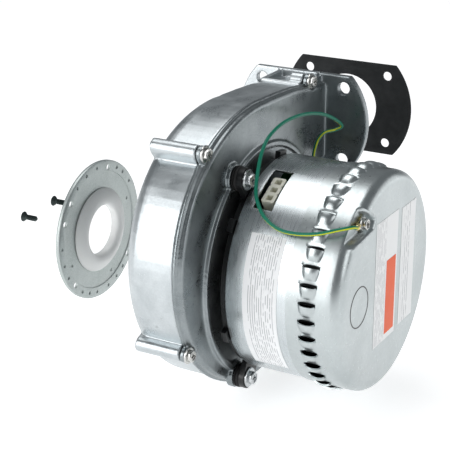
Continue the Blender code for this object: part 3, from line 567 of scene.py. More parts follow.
BOARD = moulded("board_laminate", (0.02, 0.16, 0.06), 0.35, 0.5)
SLEEVE = moulded("capacitor_sleeve", (0.03, 0.035, 0.08), 0.25, 0.35)
WIRE = wire_sleeve()
STAMP = moulded("stamped_mark", (0.10, 0.10, 0.10), 0.5, 0.6)


# ---------------------------------------------------------------- camera
def add_camera():
    data = bpy.data.cameras.new("camera")
    data.lens = CAMERA_LENS
    data.clip_end = 20.0
    camera = bpy.data.objects.new("camera", data)
    camera.location = FAN + Vector(CAMERA_AT) * MM
    camera.rotation_euler = (math.radians(90 - CAMERA_ELEVATION), 0, math.radians(CAMERA_AZIMUTH))
    bpy.context.scene.collection.objects.link(camera)
    bpy.context.scene.camera = camera


add_camera()

# ---------------------------------------------------------------- earth wire
EARTH_ROUTE = [  # x, then radius and angle from the shaft line
    (75.0, 67.0, 131.5), (74.2, 72.6, 134.2), (68.0, 75.8, 137.6), (56.5, 76.2, 141.2),
    (43.0, 75.4, 142.8), (30.5, 74.6, 142.0), (19.0, 74.4, 137.5), (11.0, 75.4, 130.5),
    (7.6, 77.6, 124.8), (6.8, 84.0, 118.6), (5.8, 89.6, 112.0), (4.8, 92.6, 104.0),
    (4.2, 93.4, 92.0), (4.2, 94.6, 79.0), (4.4, 97.4, 67.0), (4.8, 101.6, 56.0),
    (5.8, 105.6, 46.8), (7.4, 106.2, 42.2), (3.4, 102.6, 42.0), (-1.0, 97.4, 44.2),
    (-4.2, 91.6, 43.6), (-5.8, 85.8, 41.2)]
WIRE_R = 1.15


def earth_route(per_stretch=8):
    """Smooth line through the route, from one crimp to the other."""
    knots = [Vector((POCKET_FLOOR + 2.3, EARTH_CAP[0] - 7.6, EARTH_CAP[1] + 0.9))]
    knots += [Vector((x, *polar(r, a))) for x, r, a in EARTH_ROUTE]
    knots += [Vector((MOTOR_FACE + 4.9, EARTH_BOSS[0] + 0.3, EARTH_BOSS[1] + 9.6))]
    padded = [2 * knots[0] - knots[1]] + knots + [2 * knots[-1] - knots[-2]]
    points = []
    for p0, p1, p2, p3 in zip(padded, padded[1:], padded[2:], padded[3:]):
        for i in range(per_stretch):
            t = i / per_stretch
            points.append(0.5 * ((2 * p1) + (p2 - p0) * t + (2 * p0 - 5 * p1 + 4 * p2 - p3) * t * t
                                 + (3 * p1 - p0 - 3 * p2 + p3) * t ** 3))
    return points + [knots[-1]]


def tube(path, radius, sides=20, turns=0.0, phase=0.0):
    """Round tube along a path; the stripe attribute counts turns round it from 0 to 1."""
    bm = bmesh.new()
    layer = bm.verts.layers.float.new("stripe")
    across = Vector((0, 0, 1))
    rings = []
    for k, p in enumerate(path):
        ahead = (path[min(k + 1, len(path) - 1)] - path[max(k - 1, 0)]).normalized()
        across = (across - ahead * across.dot(ahead)).normalized()
        other = ahead.cross(across)
        ring = []
        for i in range(sides):
            a = math.tau * i / sides
            v = bm.verts.new(p + across * (radius * math.cos(a)) + other * (radius * math.sin(a)))
            v[layer] = (i / sides + phase + turns * k / len(path)) % 1.0
            ring.append(v)
        rings.append(ring)
    for a, b in zip(rings, rings[1:]):
        for i in range(sides):
            j = (i + 1) % sides
            bm.faces.new((a[i], a[j], b[j], b[i]))
    bm.faces.new(rings[0])
    bm.faces.new(rings[-1])
    return as_object(bm)


def build_terminal(x, spot, degrees, hole, path_from, path_to, reach=1.0, thick=0.8):
    """Ring tongue with a flat ring and a crimped barrel round the wire's end."""
    y, z = spot
    ring = [(4.0 * math.cos(t), 4.0 * math.sin(t))
            for t in (math.radians(120 + 300 * i / 30) for i in range(31))]
    outline = [(y + p[0], z + p[1]) for p in
               turned_about([(-t, r) for t, r in ring] + [(-1.6, 6.0), (1.6, 6.0)], degrees)]
    tongue = combine(prism(outline, x, x + thick), [prism(circle(y, z, hole + GAP, 32), x - 5,
                                                          x + 5)], 'DIFFERENCE')
    edge_round(tongue, 0.15, 1)
    ahead = (path_to - path_from).normalized()
    barrel = []
    for s, r in ((-1.6, 1.3), (-1.2, 1.6), (0.6, 1.62), (1.0, 1.45), (1.4, 1.62), (3.2, 1.66),
                 (3.6, 1.4)):
        barrel.append((path_from + ahead * (s * reach if s > 0 else s), r))
    bm = bmesh.new()
    side = ahead.cross(Vector((1, 0, 0))).normalized()
    other = ahead.cross(side)
    rings = [[bm.verts.new(p + side * (r * math.cos(math.tau * i / 28)) * 0.95 +
                           other * (r * math.sin(math.tau * i / 28))) for i in range(28)]
             for p, r in barrel]
    for a, b in zip(rings, rings[1:]):
        for i in range(28):
            j = (i + 1) % 28
            bm.faces.new((a[i], a[j], b[j], b[i]))
    bm.faces.new(rings[0])
    bm.faces.new(rings[-1])
    bm.from_mesh(tongue.data)
    bpy.data.objects.remove(tongue, do_unlink=True)
    return as_object(bm)


def add_terminals():
    route = earth_route()
    return [
        place(build_terminal(POCKET_FLOOR + GAP, EARTH_CAP, 174.0, 1.8, route[0], route[6]),
              "ring_terminal_at_cap", "housing", BRASS, ["ring_terminal_cap"]),
        place(build_terminal(MOTOR_FACE + 3 + GAP, EARTH_BOSS, 88.0, 1.6, route[-1], route[-6],
                             0.3),
              "ring_terminal_at_housing", "housing", BRASS,
              ["ring_terminal_housing"])]


def add_earth_wire(terminals):
    path = earth_route()
    wire = place(tube(path, WIRE_R, 24, 0.45, 0.34), "earth_wire_sleeve", "housing", WIRE,
                 ["earth_wire"], 60)


add_earth_wire(add_terminals())


# ---------------------------------------------------------------- snail castings
def scroll_radius(degrees):
    a = degrees % 360
    if 90 <= a <= 140:
        return ease(SCROLL_MAX, SCROLL_TOP, (140 - a) / 50)
    if 140 < a <= 250:
        return ease(SCROLL_MAX, SCROLL_MIN, (a - 140) / 110)
    if a > 250 or a <= 30:
        return ease(SCROLL_MIN, SCROLL_TONGUE, ((a if a > 250 else a + 360) - 250) / 140)
    return ease(SCROLL_TONGUE, SCROLL_TOP, (a - 30) / 60)


def scroll_section(x, inset, step=3):
    return [(x, *polar(scroll_radius(a) - inset, a)) for a in range(0, 360, step)]


def neck_outline(inset, end):
    return [(-7, 80), (-6, 101.6 - inset), (8, 103.3 - inset), (27, 102.6 - inset),
            (47, 101.4 - inset), (62, 99.4 - inset), (end, 96.2 - inset), (end, 43.2 + inset),
            (62, 42.6 + inset), (45, 42.4 + inset), (30, 60)]


def boss_outline(degrees, radius, width=BOSS_HALF, depth=10.0):
    head = [(width * math.cos(t), width * math.sin(t))
            for t in (math.pi * i / 12 for i in range(13))]
    return turned_about([(-t, r) for t, r in head] + [(width, -depth), (-width, -depth)],
                        degrees, radius)


def flange_outline(radius=FLANGE_R, x=FLANGE_X, z=FLANGE_Z, steps=28):
    limit = math.asin(FLANGE_FLAT / radius)
    points = []
    for side in (0, math.pi):
        for i in range(steps):
            t = side - limit + 2 * limit * i / (steps - 1)
            points.append((x + radius * math.cos(t), z + radius * math.sin(t)))
    return points


def bolt_bores(radius, y0, y1, x=FLANGE_X, z=FLANGE_Z):
    return [(add_prism_y, (circle(x + sx * BOLT_X, z + sz * BOLT_Z, radius, 28), y0, y1))
            for sx in (-1, 1) for sz in (-1, 1)]


def outlet_port():
    """Rounded air port from the duct out through the flange."""
    return solid(add_prism_y, rounded_outline(DUCT_HALF_X, DUCT_HALF_Z, DUCT_CORNER, FLANGE_X,
                                              FLANGE_Z + DUCT_RISE), 78, 100)


def spot_faces():
    """Round flats that let the screw heads sit down beside the lid's rim."""
    spots = [polar(r, a) for a, r in HOUSING_SCREWS] + [NECK_SCREW]
    return [(add_prism, (circle(y, z, SPOT_FACE_R, 32), BOSS_FACE, 0)) for y, z in spots]


def screw_bores():
    bores = [(add_prism, (circle(*polar(r, a), SCREW_BORE, 20), -38, 10))
             for a, r in HOUSING_SCREWS]
    return bores + [(add_prism, (circle(*NECK_SCREW, SCREW_BORE, 20), NECK_BOSS_BACK + 1, 10))]


def housing_bosses(x0, neck_x0, x1):
    """Bars for the screws round the snail, and the short one on top of the neck."""
    adds = [(add_prism, (boss_outline(a, r), x0, x1)) for a, r in HOUSING_SCREWS]
    y, z = NECK_SCREW
    adds.append((add_prism, ([(y + a, b) for a, b in boss_outline(90, z, depth=6)], neck_x0, x1)))
    return many(adds)


def build_intake_housing():
    face = SPLIT_X - GAP / 2
    rounding = [scroll_section(-42 - 12 * math.sin(math.radians(t)),
                               12 * (1 - math.cos(math.radians(t)))) for t in range(15, 91, 15)]
    body = solid(add_loft, [scroll_section(face + 2, 0), scroll_section(-42, 0)] + rounding)
    end = FLANGE_BACK + 1
    neck = solid(add_loft, [[(x, y, z) for y, z in neck_outline(inset, end)]
                            for x, inset in ((NECK_X[0], 3.0), (-47.2, 1.4), (-45.4, 0.3),
                                             (-43.0, 0.0), (face + 3, 0.0))])
    flange = solid(add_prism_y, flange_outline(), FLANGE_BACK, FLANGE_BACK + FLANGE_THICK)
    side_rib = prism([(64, 90), (FLANGE_BACK + 1, 90), (FLANGE_BACK + 1, 101.6), (64, 101.2)],
                     -47.2, -44.6)
    cross_rib = prism(box_outline(63.4, 66.6, 90.5, 101.4), -46.6, face + 5)
    bosses = housing_bosses(BOSS_BACK, NECK_BOSS_BACK, face + 4)
    combine(body, [neck, bosses, side_rib, cross_rib, flange], 'UNION', 'MANIFOLD')
    cavity = solid(add_loft, [scroll_section(SPLIT_X + 9, WALL), scroll_section(-41, WALL),
                              scroll_section(-45.6, WALL + 1.4), scroll_section(-49.2, WALL + 4.6),
                              scroll_section(INTAKE_FACE + WALL, 14)])
    duct = prism(neck_outline(WALL, FLANGE_BACK - 9), NECK_X[0] + WALL, SPLIT_X + 10)
    outlet = outlet_port()
    inlet = prism(circle(0, 0, INLET_BORE, 120), INTAKE_FACE - 2, INTAKE_FACE + WALL + 2)
    plate_screws = many([(add_prism, (circle(*polar(SCREW_RING, a), 2.1, 20),
                                      INTAKE_FACE - 2, INTAKE_FACE + WALL + 2))
                         for a in PLATE_HOLES])
    beyond = prism(box_outline(-150, 150, -150, 150), face - SPLIT_SHADOW, 60)
    combine(body, [cavity, duct, outlet, inlet, plate_screws,
                   many(bolt_bores(FLANGE_BOLT_R, FLANGE_BACK - 3, FLANGE_BACK + 8)),
                   many(screw_bores()), beyond], 'DIFFERENCE', 'MANIFOLD')
    return cast_skin(body)


def build_motor_housing():
    face = SPLIT_X + GAP / 2
    body = solid(add_loft, [scroll_section(face - 2, -LIP), scroll_section(-14.6, -LIP),
                            scroll_section(-14.5, 0.2), scroll_section(-12.8, 0.2),
                            scroll_section(-11.6, 0.8), scroll_section(MOTOR_FACE, 2.2)])
    end = FLANGE_BACK + 1
    neck = solid(add_loft, [[(x, y, z) for y, z in neck_outline(inset, end)]
                            for x, inset in ((face - 3, 0.0), (-12.6, 0.0), (-11.7, 0.7),
                                             (MOTOR_FACE + 0.01, 2.2))])
    lip = prism([(-7, 90), (-6, 103.0), (8, 103.4 + LIP), (27, 102.6 + LIP), (47, 101.4 + LIP),
                 (62, 99.4 + LIP), (FLANGE_BACK + 1.5, 100.8), (FLANGE_BACK + 1.5, 90)],
                face - 4, -14.3)
    flange = solid(add_prism_y, flange_outline(), FLANGE_BACK, FLANGE_BACK + FLANGE_THICK)
    ring = turned([(MOTOR_FACE - 1, 73), (MOTOR_FACE + 2.5, 73.6), (MOTOR_FACE + 2.5, 76.6),
                   (MOTOR_FACE - 1, 77.4)], 120)
    pads = many([(add_prism, (circle(*polar(LUG_R, a), 8.6, 40, 0.1), MOTOR_FACE - 1.7,
                              MOTOR_FACE + 2.8)) for a in LUG_ANGLES])
    earth = prism(circle(*EARTH_BOSS, 6.2, 32), MOTOR_FACE - 1.4, MOTOR_FACE + 3)
    bosses = housing_bosses(face - 5, face - 4.8, BOSS_FACE)
    combine(body, [neck, lip, bosses, ring, pads, earth, flange], 'UNION', 'MANIFOLD')
    cavity = solid(add_loft, [scroll_section(SPLIT_X - 9, WALL),
                              scroll_section(MOTOR_FACE - WALL, WALL + 0.6)])
    duct = prism(neck_outline(WALL, FLANGE_BACK - 9), SPLIT_X - 10, NECK_X[1] - WALL)
    outlet = outlet_port()
    bore = prism(circle(0, 0, SEAL_BORE, 60), -20, 0)
    bracket_bores = many([(add_prism, (circle(*polar(LUG_R, a), 2.4, 16), MOTOR_FACE - 4.5, 0))
                          for a in LUG_ANGLES])
    earth_bore = prism(circle(*EARTH_BOSS, 2.0, 16), MOTOR_FACE - 1.2, 0)
    beyond = prism(box_outline(-150, 150, -150, 150), -90, face)
    combine(body, [cavity, duct, outlet, bore, bracket_bores, earth_bore, many(spot_faces()),
                   many(bolt_bores(FLANGE_BOLT_R, FLANGE_BACK - 3, FLANGE_BACK + 8)),
                   many(screw_bores()), beyond], 'DIFFERENCE', 'MANIFOLD')
    return cast_skin(body)


place(build_intake_housing(), "intake_casting", "housing", CAST,
      ["intake_housing"], 60)
# The motor-side casting wears the darker copy of the cast aluminium, which is painted shade.
place(build_motor_housing(), "motor_side_casting", "housing", SHADED_CAST,
      ["motor_side_housing"], 60)


# ---------------------------------------------------------------- fasteners
def hex_screw(y, z, under_head, tip, head_r=4.0, washer_r=5.4, shank_r=2.0, height=3.6):
    """Washer head screw driven toward -x: shank, flange, chamfered hexagon and a cross recess."""
    flange = turned([(tip, 0), (tip, shank_r), (under_head, shank_r), (under_head, washer_r),
                     (under_head + 0.6, washer_r), (under_head + 1.1, washer_r - 0.5),
                     (under_head + 1.2, 0)], 40, y, z)
    head = prism(circle(y, z, head_r, 6, 0.3), under_head + 0.9, under_head + height)
    edge_round(head, 0.35, 2)
    top = under_head + height
    reach, half = head_r * 0.5, 0.55
    dish = prism(circle(y, z, head_r * 0.66, 24), top - 0.4, top + 1)
    upright = prism(box_outline(y - half, y + half, z - reach, z + reach), top - 1.6, top + 1.2)
    level = prism(box_outline(y - reach, y + reach, z - half, z + half), top - 1.5, top + 1.1)
    combine(head, [dish, upright, level], 'DIFFERENCE')
    return joined(flange, head)


def countersunk(tip, y, z, length=11.0, slot_half=0.4, slot_reach=1.9):
    """Countersunk screw with rolled thread ridges."""
    back = tip - length
    threads = []
    pitch = 0.7
    turns = int((length - 3.6) / pitch)
    for i in range(turns):
        x = tip - 0.7 - i * pitch
        threads += [(x, 1.45), (x - pitch / 2, 1.85)]
    screw = turned([(tip, 0), (tip, 1.0)] + threads +
                   [(back + 2.6, 1.6), (back + 2.4, 1.8), (back + 0.35, 3.45), (back + 0.1, 3.45),
                    (back, 3.3), (back, 0)], 32, y, z)
    upright = prism(box_outline(y - slot_half, y + slot_half, z - slot_reach, z + slot_reach),
                    back - 1, back + 1.4)
    level = prism(box_outline(y - slot_reach, y + slot_reach, z - slot_half, z + slot_half),
                  back - 1.2, back + 1.3)
    return combine(screw, [upright, level], 'DIFFERENCE')


def add_fasteners():
    spots = [(*polar(r, a), -33.0) for a, r in HOUSING_SCREWS] + [(*NECK_SCREW, -24.5)]
    for i, (y, z, tip) in enumerate(spots, 1):
        place(hex_screw(y, z, BOSS_FACE + GAP, tip), f"housing_hex_screw_{i}", "housing", SCREW,
              [f"housing_screw_{i}"])
    for i, (y, z) in enumerate((polar(LUG_R, a) for a in LUG_ANGLES), 1):
        place(turned([(-7.9, 3.2), (-7.9, 7.2), (-7.4, 7.8), (-6.8, 8.0), (-6.4, 7.2), (-5.9, 7.2),
                      (-5.5, 8.0), (-4.8, 7.8), (-4.3, 7.2), (-4.3, 3.2)], 40, y, z),
              f"isolator_ring_{i}", "housing", RUBBER, [f"isolator_{i}"])
        place(hex_screw(y, z, 0.0, -14.0, 4.4, 6.6, 2.0, 4.0), f"bracket_hex_screw_{i}", "housing",
              BRACKET_SCREW, [f"bracket_screw_{i}"])
    place(hex_screw(*EARTH_CAP, POCKET_FLOOR + 0.9 + 2 * GAP, 68.0, 3.6, 4.4, 1.8, 3.9),
          "earth_hex_screw_cap", "housing", SCREW, ["earth_screw_cap"])
    place(hex_screw(*EARTH_BOSS, MOTOR_FACE + 3.9 + 2 * GAP, -11.6, 3.6, 4.4, 1.6, 3.4),
          "earth_hex_screw_housing", "housing", SCREW, ["earth_screw_housing"])
    for name, angle, tip in INLET_SCREWS:
        y, z = polar(SCREW_RING, angle)
        place(countersunk(tip, y, z - PLATE_DROP), f"countersunk_screw_{name}",
              f"inlet_screw_{name}", BLACK_SCREW, [f"inlet_screw_{name}"])


add_fasteners()


# ---------------------------------------------------------------- motor carrier and cover
def build_motor_frame():
    body = turned([(-4.0, SHAFT_R + 2), (-4.0, 67.6), (-3.6, 68.4), (-0.7, 68.4), (-GAP, 68.0),
                   (-GAP, 50.0), (38.0, 50.0), (38.0, 47.3), (GAP, 47.3), (GAP, 15.0),
                   (8.4, 15.0), (8.4, 11.3), (0.8, 11.3), (0.8, SHAFT_R + 2)], 120)
    lugs = many([(add_prism, (boss_outline(a, LUG_R, 7.6, 14), -3.95, -GAP - 0.05))
                 for a in LUG_ANGLES])
    tabs = many([(add_prism, (turned_about([(-5, 60), (5, 60), (4.2, 72.4), (-4.2, 72.4)], a),
                              -3.9, -GAP - 0.1)) for a in range(24, 384, 60)])
    combine(body, [lugs, tabs], 'UNION')
    bores = many([(add_prism, (circle(*polar(LUG_R, a), 3.2, 24), -6, 2)) for a in LUG_ANGLES])
    vents = many([(add_prism, (circle(*polar(31, a), 6, 28), -6, 2)) for a in range(0, 360, 60)])
    return combine(body, [bores, vents], 'DIFFERENCE')


def build_shell():
    r = SHELL_R
    body = turned([(0, 50.6), (0, r - 1.1), (0.15, r - 0.6), (0.5, r - 0.2), (1.1, r),
                   (20, r), (SHELL_END, r), (SHELL_END, r - 0.9), (46.0, r - 0.9),
                   (46.0, r - 2.1), (SHELL_END - 1.5, r - 2.1), (SHELL_END - 2.5, r - SHELL_SHEET),
                   (20, r - SHELL_SHEET), (SHELL_SHEET, r - SHELL_SHEET), (SHELL_SHEET, 50.6)], 180)
    half = math.tan(math.radians(13.3)) * r
    window = prism(turned_about([(-half, 60), (half, 60), (half, 80), (-half, 80)], BOARD_ANGLE),
                   7.2, 20.2)
    return combine(body, [window], 'DIFFERENCE')


def edge_distance(point, outline):
    """Distance to a closed outline, negative inside."""
    y, z = point
    nearest, inside = 1e9, False
    for (y0, z0), (y1, z1) in zip(outline, outline[1:] + outline[:1]):
        dy, dz = y1 - y0, z1 - z0
        t = max(0.0, min(1.0, ((y - y0) * dy + (z - z0) * dz) / (dy * dy + dz * dz)))
        nearest = min(nearest, math.hypot(y - y0 - t * dy, z - z0 - t * dz))
        if (z0 > z) != (z1 > z) and y < y0 + (z - z0) * dy / dz:
            inside = not inside
    return -nearest if inside else nearest


def louvre_lift(x, across):
    """How far the scoop stands off the sheet, across degrees below its open lip."""
    if across >= LOUVRE_SWEEP:
        return 0.0
    share = across / LOUVRE_SWEEP
    s = (x - LOUVRE_MIDDLE) / (LOUVRE_HALF * (1 - 0.42 * share))
    if abs(s) >= 1:
        return 0.0
    return LOUVRE_LIFT * math.sqrt(1 - s * s) * math.cos(math.pi / 2 * share ** 1.25)


def louvre_dent(x, before):
    """How far the sheet dips under the lip of the next scoop, degrees before that lip."""
    s = (x - LOUVRE_MIDDLE) / LOUVRE_HALF
    if abs(s) >= 1 or before >= DENT_SWEEP:
        return 0.0
    return LOUVRE_DENT * math.sqrt(1 - s * s) * ease(1, 0, before / DENT_SWEEP)


def build_cap():
    """Louvred end cap from one drawn skin: open scoops round its side and a sunk corner."""
    pitch = 360 / LOUVRES
    columns = [0.0, 0.5, 1.1, 1.8, 2.6, 3.4, 4.2, 5.0, 5.6, LOUVRE_SWEEP, 7.2, 7.8, 8.4, 8.9]
    rows = [CAP_START, 42.3, 45.5, 48.6]
    rows += [LOUVRE_MIDDLE + LOUVRE_HALF * math.sin(math.radians(a)) for a in range(-90, 91, 11)]
    rows += [LOUVRE_MIDDLE + LOUVRE_HALF, 63.6, 66.6, CAP_END - CAP_FILLET]
    profile = [(x, CAP_R) for x in rows]
    profile += [(CAP_END - CAP_FILLET + CAP_FILLET * math.sin(math.radians(t)),
                 CAP_R - CAP_FILLET + CAP_FILLET * math.cos(math.radians(t)))
                for t in range(9, 91, 9)]
    face_r = CAP_R - CAP_FILLET
    profile += [(CAP_END, face_r - 0.85 * i) for i in range(1, 31)]
    profile += [(CAP_END, r) for r in (33.0, 27.0, 20.0, 13.0, 6.5)]
    bm = bmesh.new()

    def ring(x, r):
        verts = []
        for k in range(LOUVRES):
            for n, a in enumerate([-0.0001] + columns):
                lift = 0.0
                if r == CAP_R:
                    before = (pitch - a) if n else 0.0
                    lift = (louvre_lift(x, a) if n else 0.0) - louvre_dent(x, before)
                y, z = polar(r + lift, k * pitch + a)
                drop = 0.0
                if x > POCKET_FLOOR:
                    d = edge_distance((y, z), POCKET)
                    drop = (x - POCKET_FLOOR) * ease(0, 1, (1.0 - d) / 2.6)
                    drop -= 0.45 * math.exp(-((d - 1.7) / 0.9) ** 2) * ease(0, 1, (r - 45) / 4)
                verts.append(bm.verts.new((x - drop, y, z)))
        return verts

    rings = [ring(x, r) for x, r in profile]
    per = len(columns) + 1
    for a, b in zip(rings, rings[1:]):
        for i in range(len(a)):
            if i % per == 0:
                continue
            j = (i + 1) % len(a)
            bm.faces.new((a[i], a[j], b[j], b[i]))
    bmesh.ops.remove_doubles(bm, verts=bm.verts, dist=0.004)
    rim = [e for e in bm.edges if e.is_boundary and all(v.co.x > CAP_END - 1 for v in e.verts)
           and all(math.hypot(v.co.y, v.co.z) < 10 for v in e.verts)]
    bmesh.ops.contextual_create(bm, geom=rim)
    cap = as_object(bm)
    skin = cap.modifiers.new("sheet", 'SOLIDIFY')
    skin.thickness = CAP_SHEET
    skin.offset = -1.0
    return bake(cap)


def add_wrap(bm, x0, x1, from_deg, to_deg, radius, thick, steps):
    loops = []
    for i in range(steps + 1):
        a = from_deg + (to_deg - from_deg) * i / steps
        loops.append([(x0, *polar(radius, a)), (x1, *polar(radius, a)),
                      (x1, *polar(radius + thick, a)), (x0, *polar(radius + thick, a))])
    add_loft(bm, loops)


place(build_motor_frame(), "motor_carrier", "housing", BLACK, ["motor_frame"])
place(build_shell(), "motor_cover", "housing", ZINC, ["motor_shell"])
place(build_cap(), "louvred_cap", "housing", CAP, ["end_cap"], 50)
place(turned([(CAP_END + 0.03, 12.4), (CAP_END + 0.16, 12.5), (CAP_END + 0.16, 13.1),
              (CAP_END + 0.03, 13.2)], 64, -42.6, -1.0), "stamped_ring", "housing", STAMP)


# ---------------------------------------------------------------- connector and earth terminals
def build_connector():
    """White socket: three joined cells with rounded square pits and a latch on one side."""
    base = BOARD_R + 1.6 + GAP
    top = 68.2
    x_mid, half = 13.85, 4.35
    outline = []
    edges = [-10.3, -3.55, 3.15, 10.3]
    for side in (-1, 1):
        walk = list(zip(edges, edges[1:])) if side < 0 else [(b, a) for a, b in
                                                             reversed(list(zip(edges, edges[1:])))]
        for a, b in walk:
            step = 0.9 if b > a else -0.9
            outline += [(a, x_mid + side * (half - 0.9)), (a + step, x_mid + side * half),
                        (b - step, x_mid + side * half)]
            if b == walk[-1][1]:
                outline.append((b, x_mid + side * (half - 0.9)))

    def upright(bm, points, r0, r1):
        sections = []
        for r in (r0, r1):
            sections.append([(x, *turned_about([(t, r)], BOARD_ANGLE)[0]) for t, x in points])
        add_loft(bm, sections)

    body = solid(upright, outline, base, top)
    pits = [(upright, (rounded_outline(2.0, 2.2, 0.7, t, x_mid, 3), base + 3, 72))
            for t in PIN_ROW]
    combine(body, [many(pits)], 'DIFFERENCE')
    edge_round(body, 0.25, 2)
    latch = solid(upright, [(-3.6, 8.6), (3.6, 8.6), (3.6, 9.45), (-3.6, 9.45)], base + 2, 66.6)
    edge_round(latch, 0.2, 1)
    return joined(body, latch)


def add_small_parts():
    place(build_connector(), "connector_socket", "housing", NYLON,
          ["connector_housing"])
    place(solid(add_wrap, 12.3, 35.6, 145, 223, SHELL_R + 0.04, 0.16, 52), "shell_label_film",
          "housing", SHELL_PRINT, ["shell_label"], 40)
    for name, sides, height, mat, slot in (
            ("main", (-20, 13.5, -38.5, 44.5), 0.03, MAIN_PRINT, "label_white"),
            ("side", (19.5, 42, -36.7, 43.2), 0.03, SIDE_PRINT, "label_white"),
            ("band", (-2.8, 11.5, -34.6, 15.2), 0.16, BAND, "label_orange")):
        film = prism(box_outline(*sides), CAP_END + height, CAP_END + height + 0.12)
        place(film, f"cap_label_film_{name}", "housing", mat, [f"cap_label_{name}"])


row_x, row_y = FAN.x / MM, FAN.y / MM
SHELL_PRINT = printed_film("label_shell", (0.86, 0.87, 0.88), (0.12, 0.13, 0.15), 2, 0,
                           row_x + 15.5, row_x + 33.0, 1.5, 0.40)
MAIN_PRINT = printed_film("label_main", (0.88, 0.89, 0.89), (0.14, 0.14, 0.16), 2, 1,
                          row_y - 18.4, row_y - 4.0, 1.3, 0.36)
SIDE_PRINT = printed_film("label_side", (0.88, 0.89, 0.89), (0.14, 0.14, 0.16), 2, 1,
                          row_y + 23.0, row_y + 33.0, 3.2, 0.28)
BAND = moulded("label_orange", (0.88, 0.105, 0.008), 0.40, 0.5, 1.0, 0.005, 0.95)
add_small_parts()


# ---------------------------------------------------------------- inlet plate, nozzle and gasket
DIMPLE_RING = 45.2
DIMPLES = (34, 49, 60, 92, 108, 124, 180, 196, 210, 238, 250, 262, 280, 294, 306, 352)


def build_inlet_plate():
    """Zinc disc with a raised rim, countersunk holes and a ring of small punched dimples."""
    face, drop = PLATE_FACE, -PLATE_DROP
    back = face - PLATE_THICK
    low = face - PLATE_STEP
    hole_r = NOZZLE_R + 0.9 + GAP
    plate = turned([(back, hole_r), (back, PLATE_R - 0.8), (back + 0.2, PLATE_R - 0.25),
                    (back + 0.8, PLATE_R), (face - 0.7, PLATE_R), (face - 0.2, PLATE_R - 0.25),
                    (face, PLATE_R - 0.8), (face, PLATE_STEP_R + 0.9),
                    (face - 0.12, PLATE_STEP_R + 0.4), (low + 0.1, PLATE_STEP_R + 0.1),
                    (low, PLATE_STEP_R - 0.4), (low, hole_r)], 160, 0, drop)
    bore_r = 1.8 + GAP

    def at(radius, degrees):
        y, z = polar(radius, degrees)
        return y, z + drop

    tools = [(add_turned, ([(back - 1, 0), (back - 1, 4.8), (back + 2.2, bore_r),
                            (face + 1, bore_r), (face + 1, 0)], 24, *at(SCREW_RING, a)))
             for a in PLATE_HOLES]
    for a in DIMPLES:
        tools.append((add_turned, ([(face - 1.3, 0), (face - 0.9, 0.9), (face + 0.6, 1.5),
                                    (face + 0.6, 0)], 16, *at(DIMPLE_RING, a))))
    for degrees in (20.0, 205.0, 290.0):
        tools.append((add_turned, ([(low - 1.0, 0), (low - 0.6, 0.9), (low + 0.6, 1.5),
                                    (low + 0.6, 0)], 16, *at(DIMPLE_RING - 8.0, degrees))))
    return combine(plate, [many(tools)], 'DIFFERENCE')


def build_nozzle():
    """Milky low collar round the air hole, on a spigot through the plate."""
    face = PLATE_FACE - PLATE_STEP + GAP
    back = PLATE_FACE - PLATE_THICK + 0.2
    spigot_r = NOZZLE_R + 0.9
    lip = [(face + 0.6, 29.6), (face + 1.1, 29.1), (face + 2.4, 27.6), (face + 3.5, 25.8),
           (face + 4.2, 24.0), (face + 4.55, 22.4), (face + 4.55, 21.0), (face + 4.2, 19.5),
           (face + 3.4, 18.4), (face + 2.4, 17.8)]
    return turned([(back, NOZZLE_R), (back, spigot_r), (face, spigot_r), (face, 29.6)] + lip +
                  [(face + 1.4, NOZZLE_R)], 160, 0, -PLATE_DROP)


def build_gasket():
    x = FLANGE_X - 0.5
    z = FLANGE_Z - 8.6
    y0, y1 = (corner.y / MM - row_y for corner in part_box("outlet_gasket")[:2])
    body = solid(add_prism_y, flange_outline(FLANGE_R + 1.5, x, z), y0, y1)
    port = solid(add_prism_y, circle(x, z, GASKET_PORT_R, 120), y0 - 2, y1 + 2)
    combine(body, [port, many(bolt_bores(GASKET_BOLT_R, y0 - 2.4, y1 + 2.4, x, z))], 'DIFFERENCE')
    return edge_round(body, 0.2, 2)


place(build_inlet_plate(), "inlet_plate_disc", "inlet_plate_set", PLATE,
      ["inlet_plate"])
place(build_nozzle(), "inlet_nozzle_collar", "inlet_plate_set", NOZZLE,
      ["inlet_nozzle"], 50)
place(build_gasket(), "outlet_gasket_sheet", "outlet_gasket", GASKET,
      ["outlet_gasket"])

# ---------------------------------------------------------------- impeller
SHROUD = [(r, ease(-45.0, -37.0, (r - 34.0) / (IMPELLER_R - 34.0)))
          for r in (34.0, 44.0, 54.0, IMPELLER_R)]


def shroud_x(radius):
    for (r0, x0), (r1, x1) in zip(SHROUD, SHROUD[1:]):
        if radius <= r1:
            return x0 + (x1 - x0) * (radius - r0) / (r1 - r0)
    return SHROUD[-1][1]


def add_blade(bm, phase, stations=18, thick=1.5):
    sections = []
    for i in range(stations):
        t = i / (stations - 1)
        r = 24.0 + (IMPELLER_R - 24.8) * t
        sweep = phase - 62.0 * t ** 0.85
        top = shroud_x(max(r, 34.0)) + 0.6
        lean = math.degrees(thick / 2 / r)
        corners = [(top, sweep - lean), (top, sweep + lean),
                   (-17.2, sweep + lean), (-17.2, sweep - lean)]
        sections.append([(x, *polar(r, a)) for x, a in corners])
    add_loft(bm, sections)


def build_wheel():
    plate = turned([(-18.0, IMPELLER_R), (-16.4, IMPELLER_R), (-16.4, SHAFT_R + GAP),
                    (-31.0, SHAFT_R + GAP), (-31.0, 9.4), (-30.6, 10.0), (-24.0, 12.6),
                    (-19.5, 14.2), (-18.0, 16.0)], 120)
    return combine(plate, [solid(add_blade, 360 * i / BLADES) for i in range(BLADES)], 'UNION')


def build_shroud():
    inner = [(x, r) for r, x in SHROUD]
    outer = [(x - 1.4, r) for r, x in reversed(SHROUD)]
    return turned(inner + outer[:-1] + [(-46.6, 33.6), (-46.4, 33.0), (-45.2, 33.0)], 120)


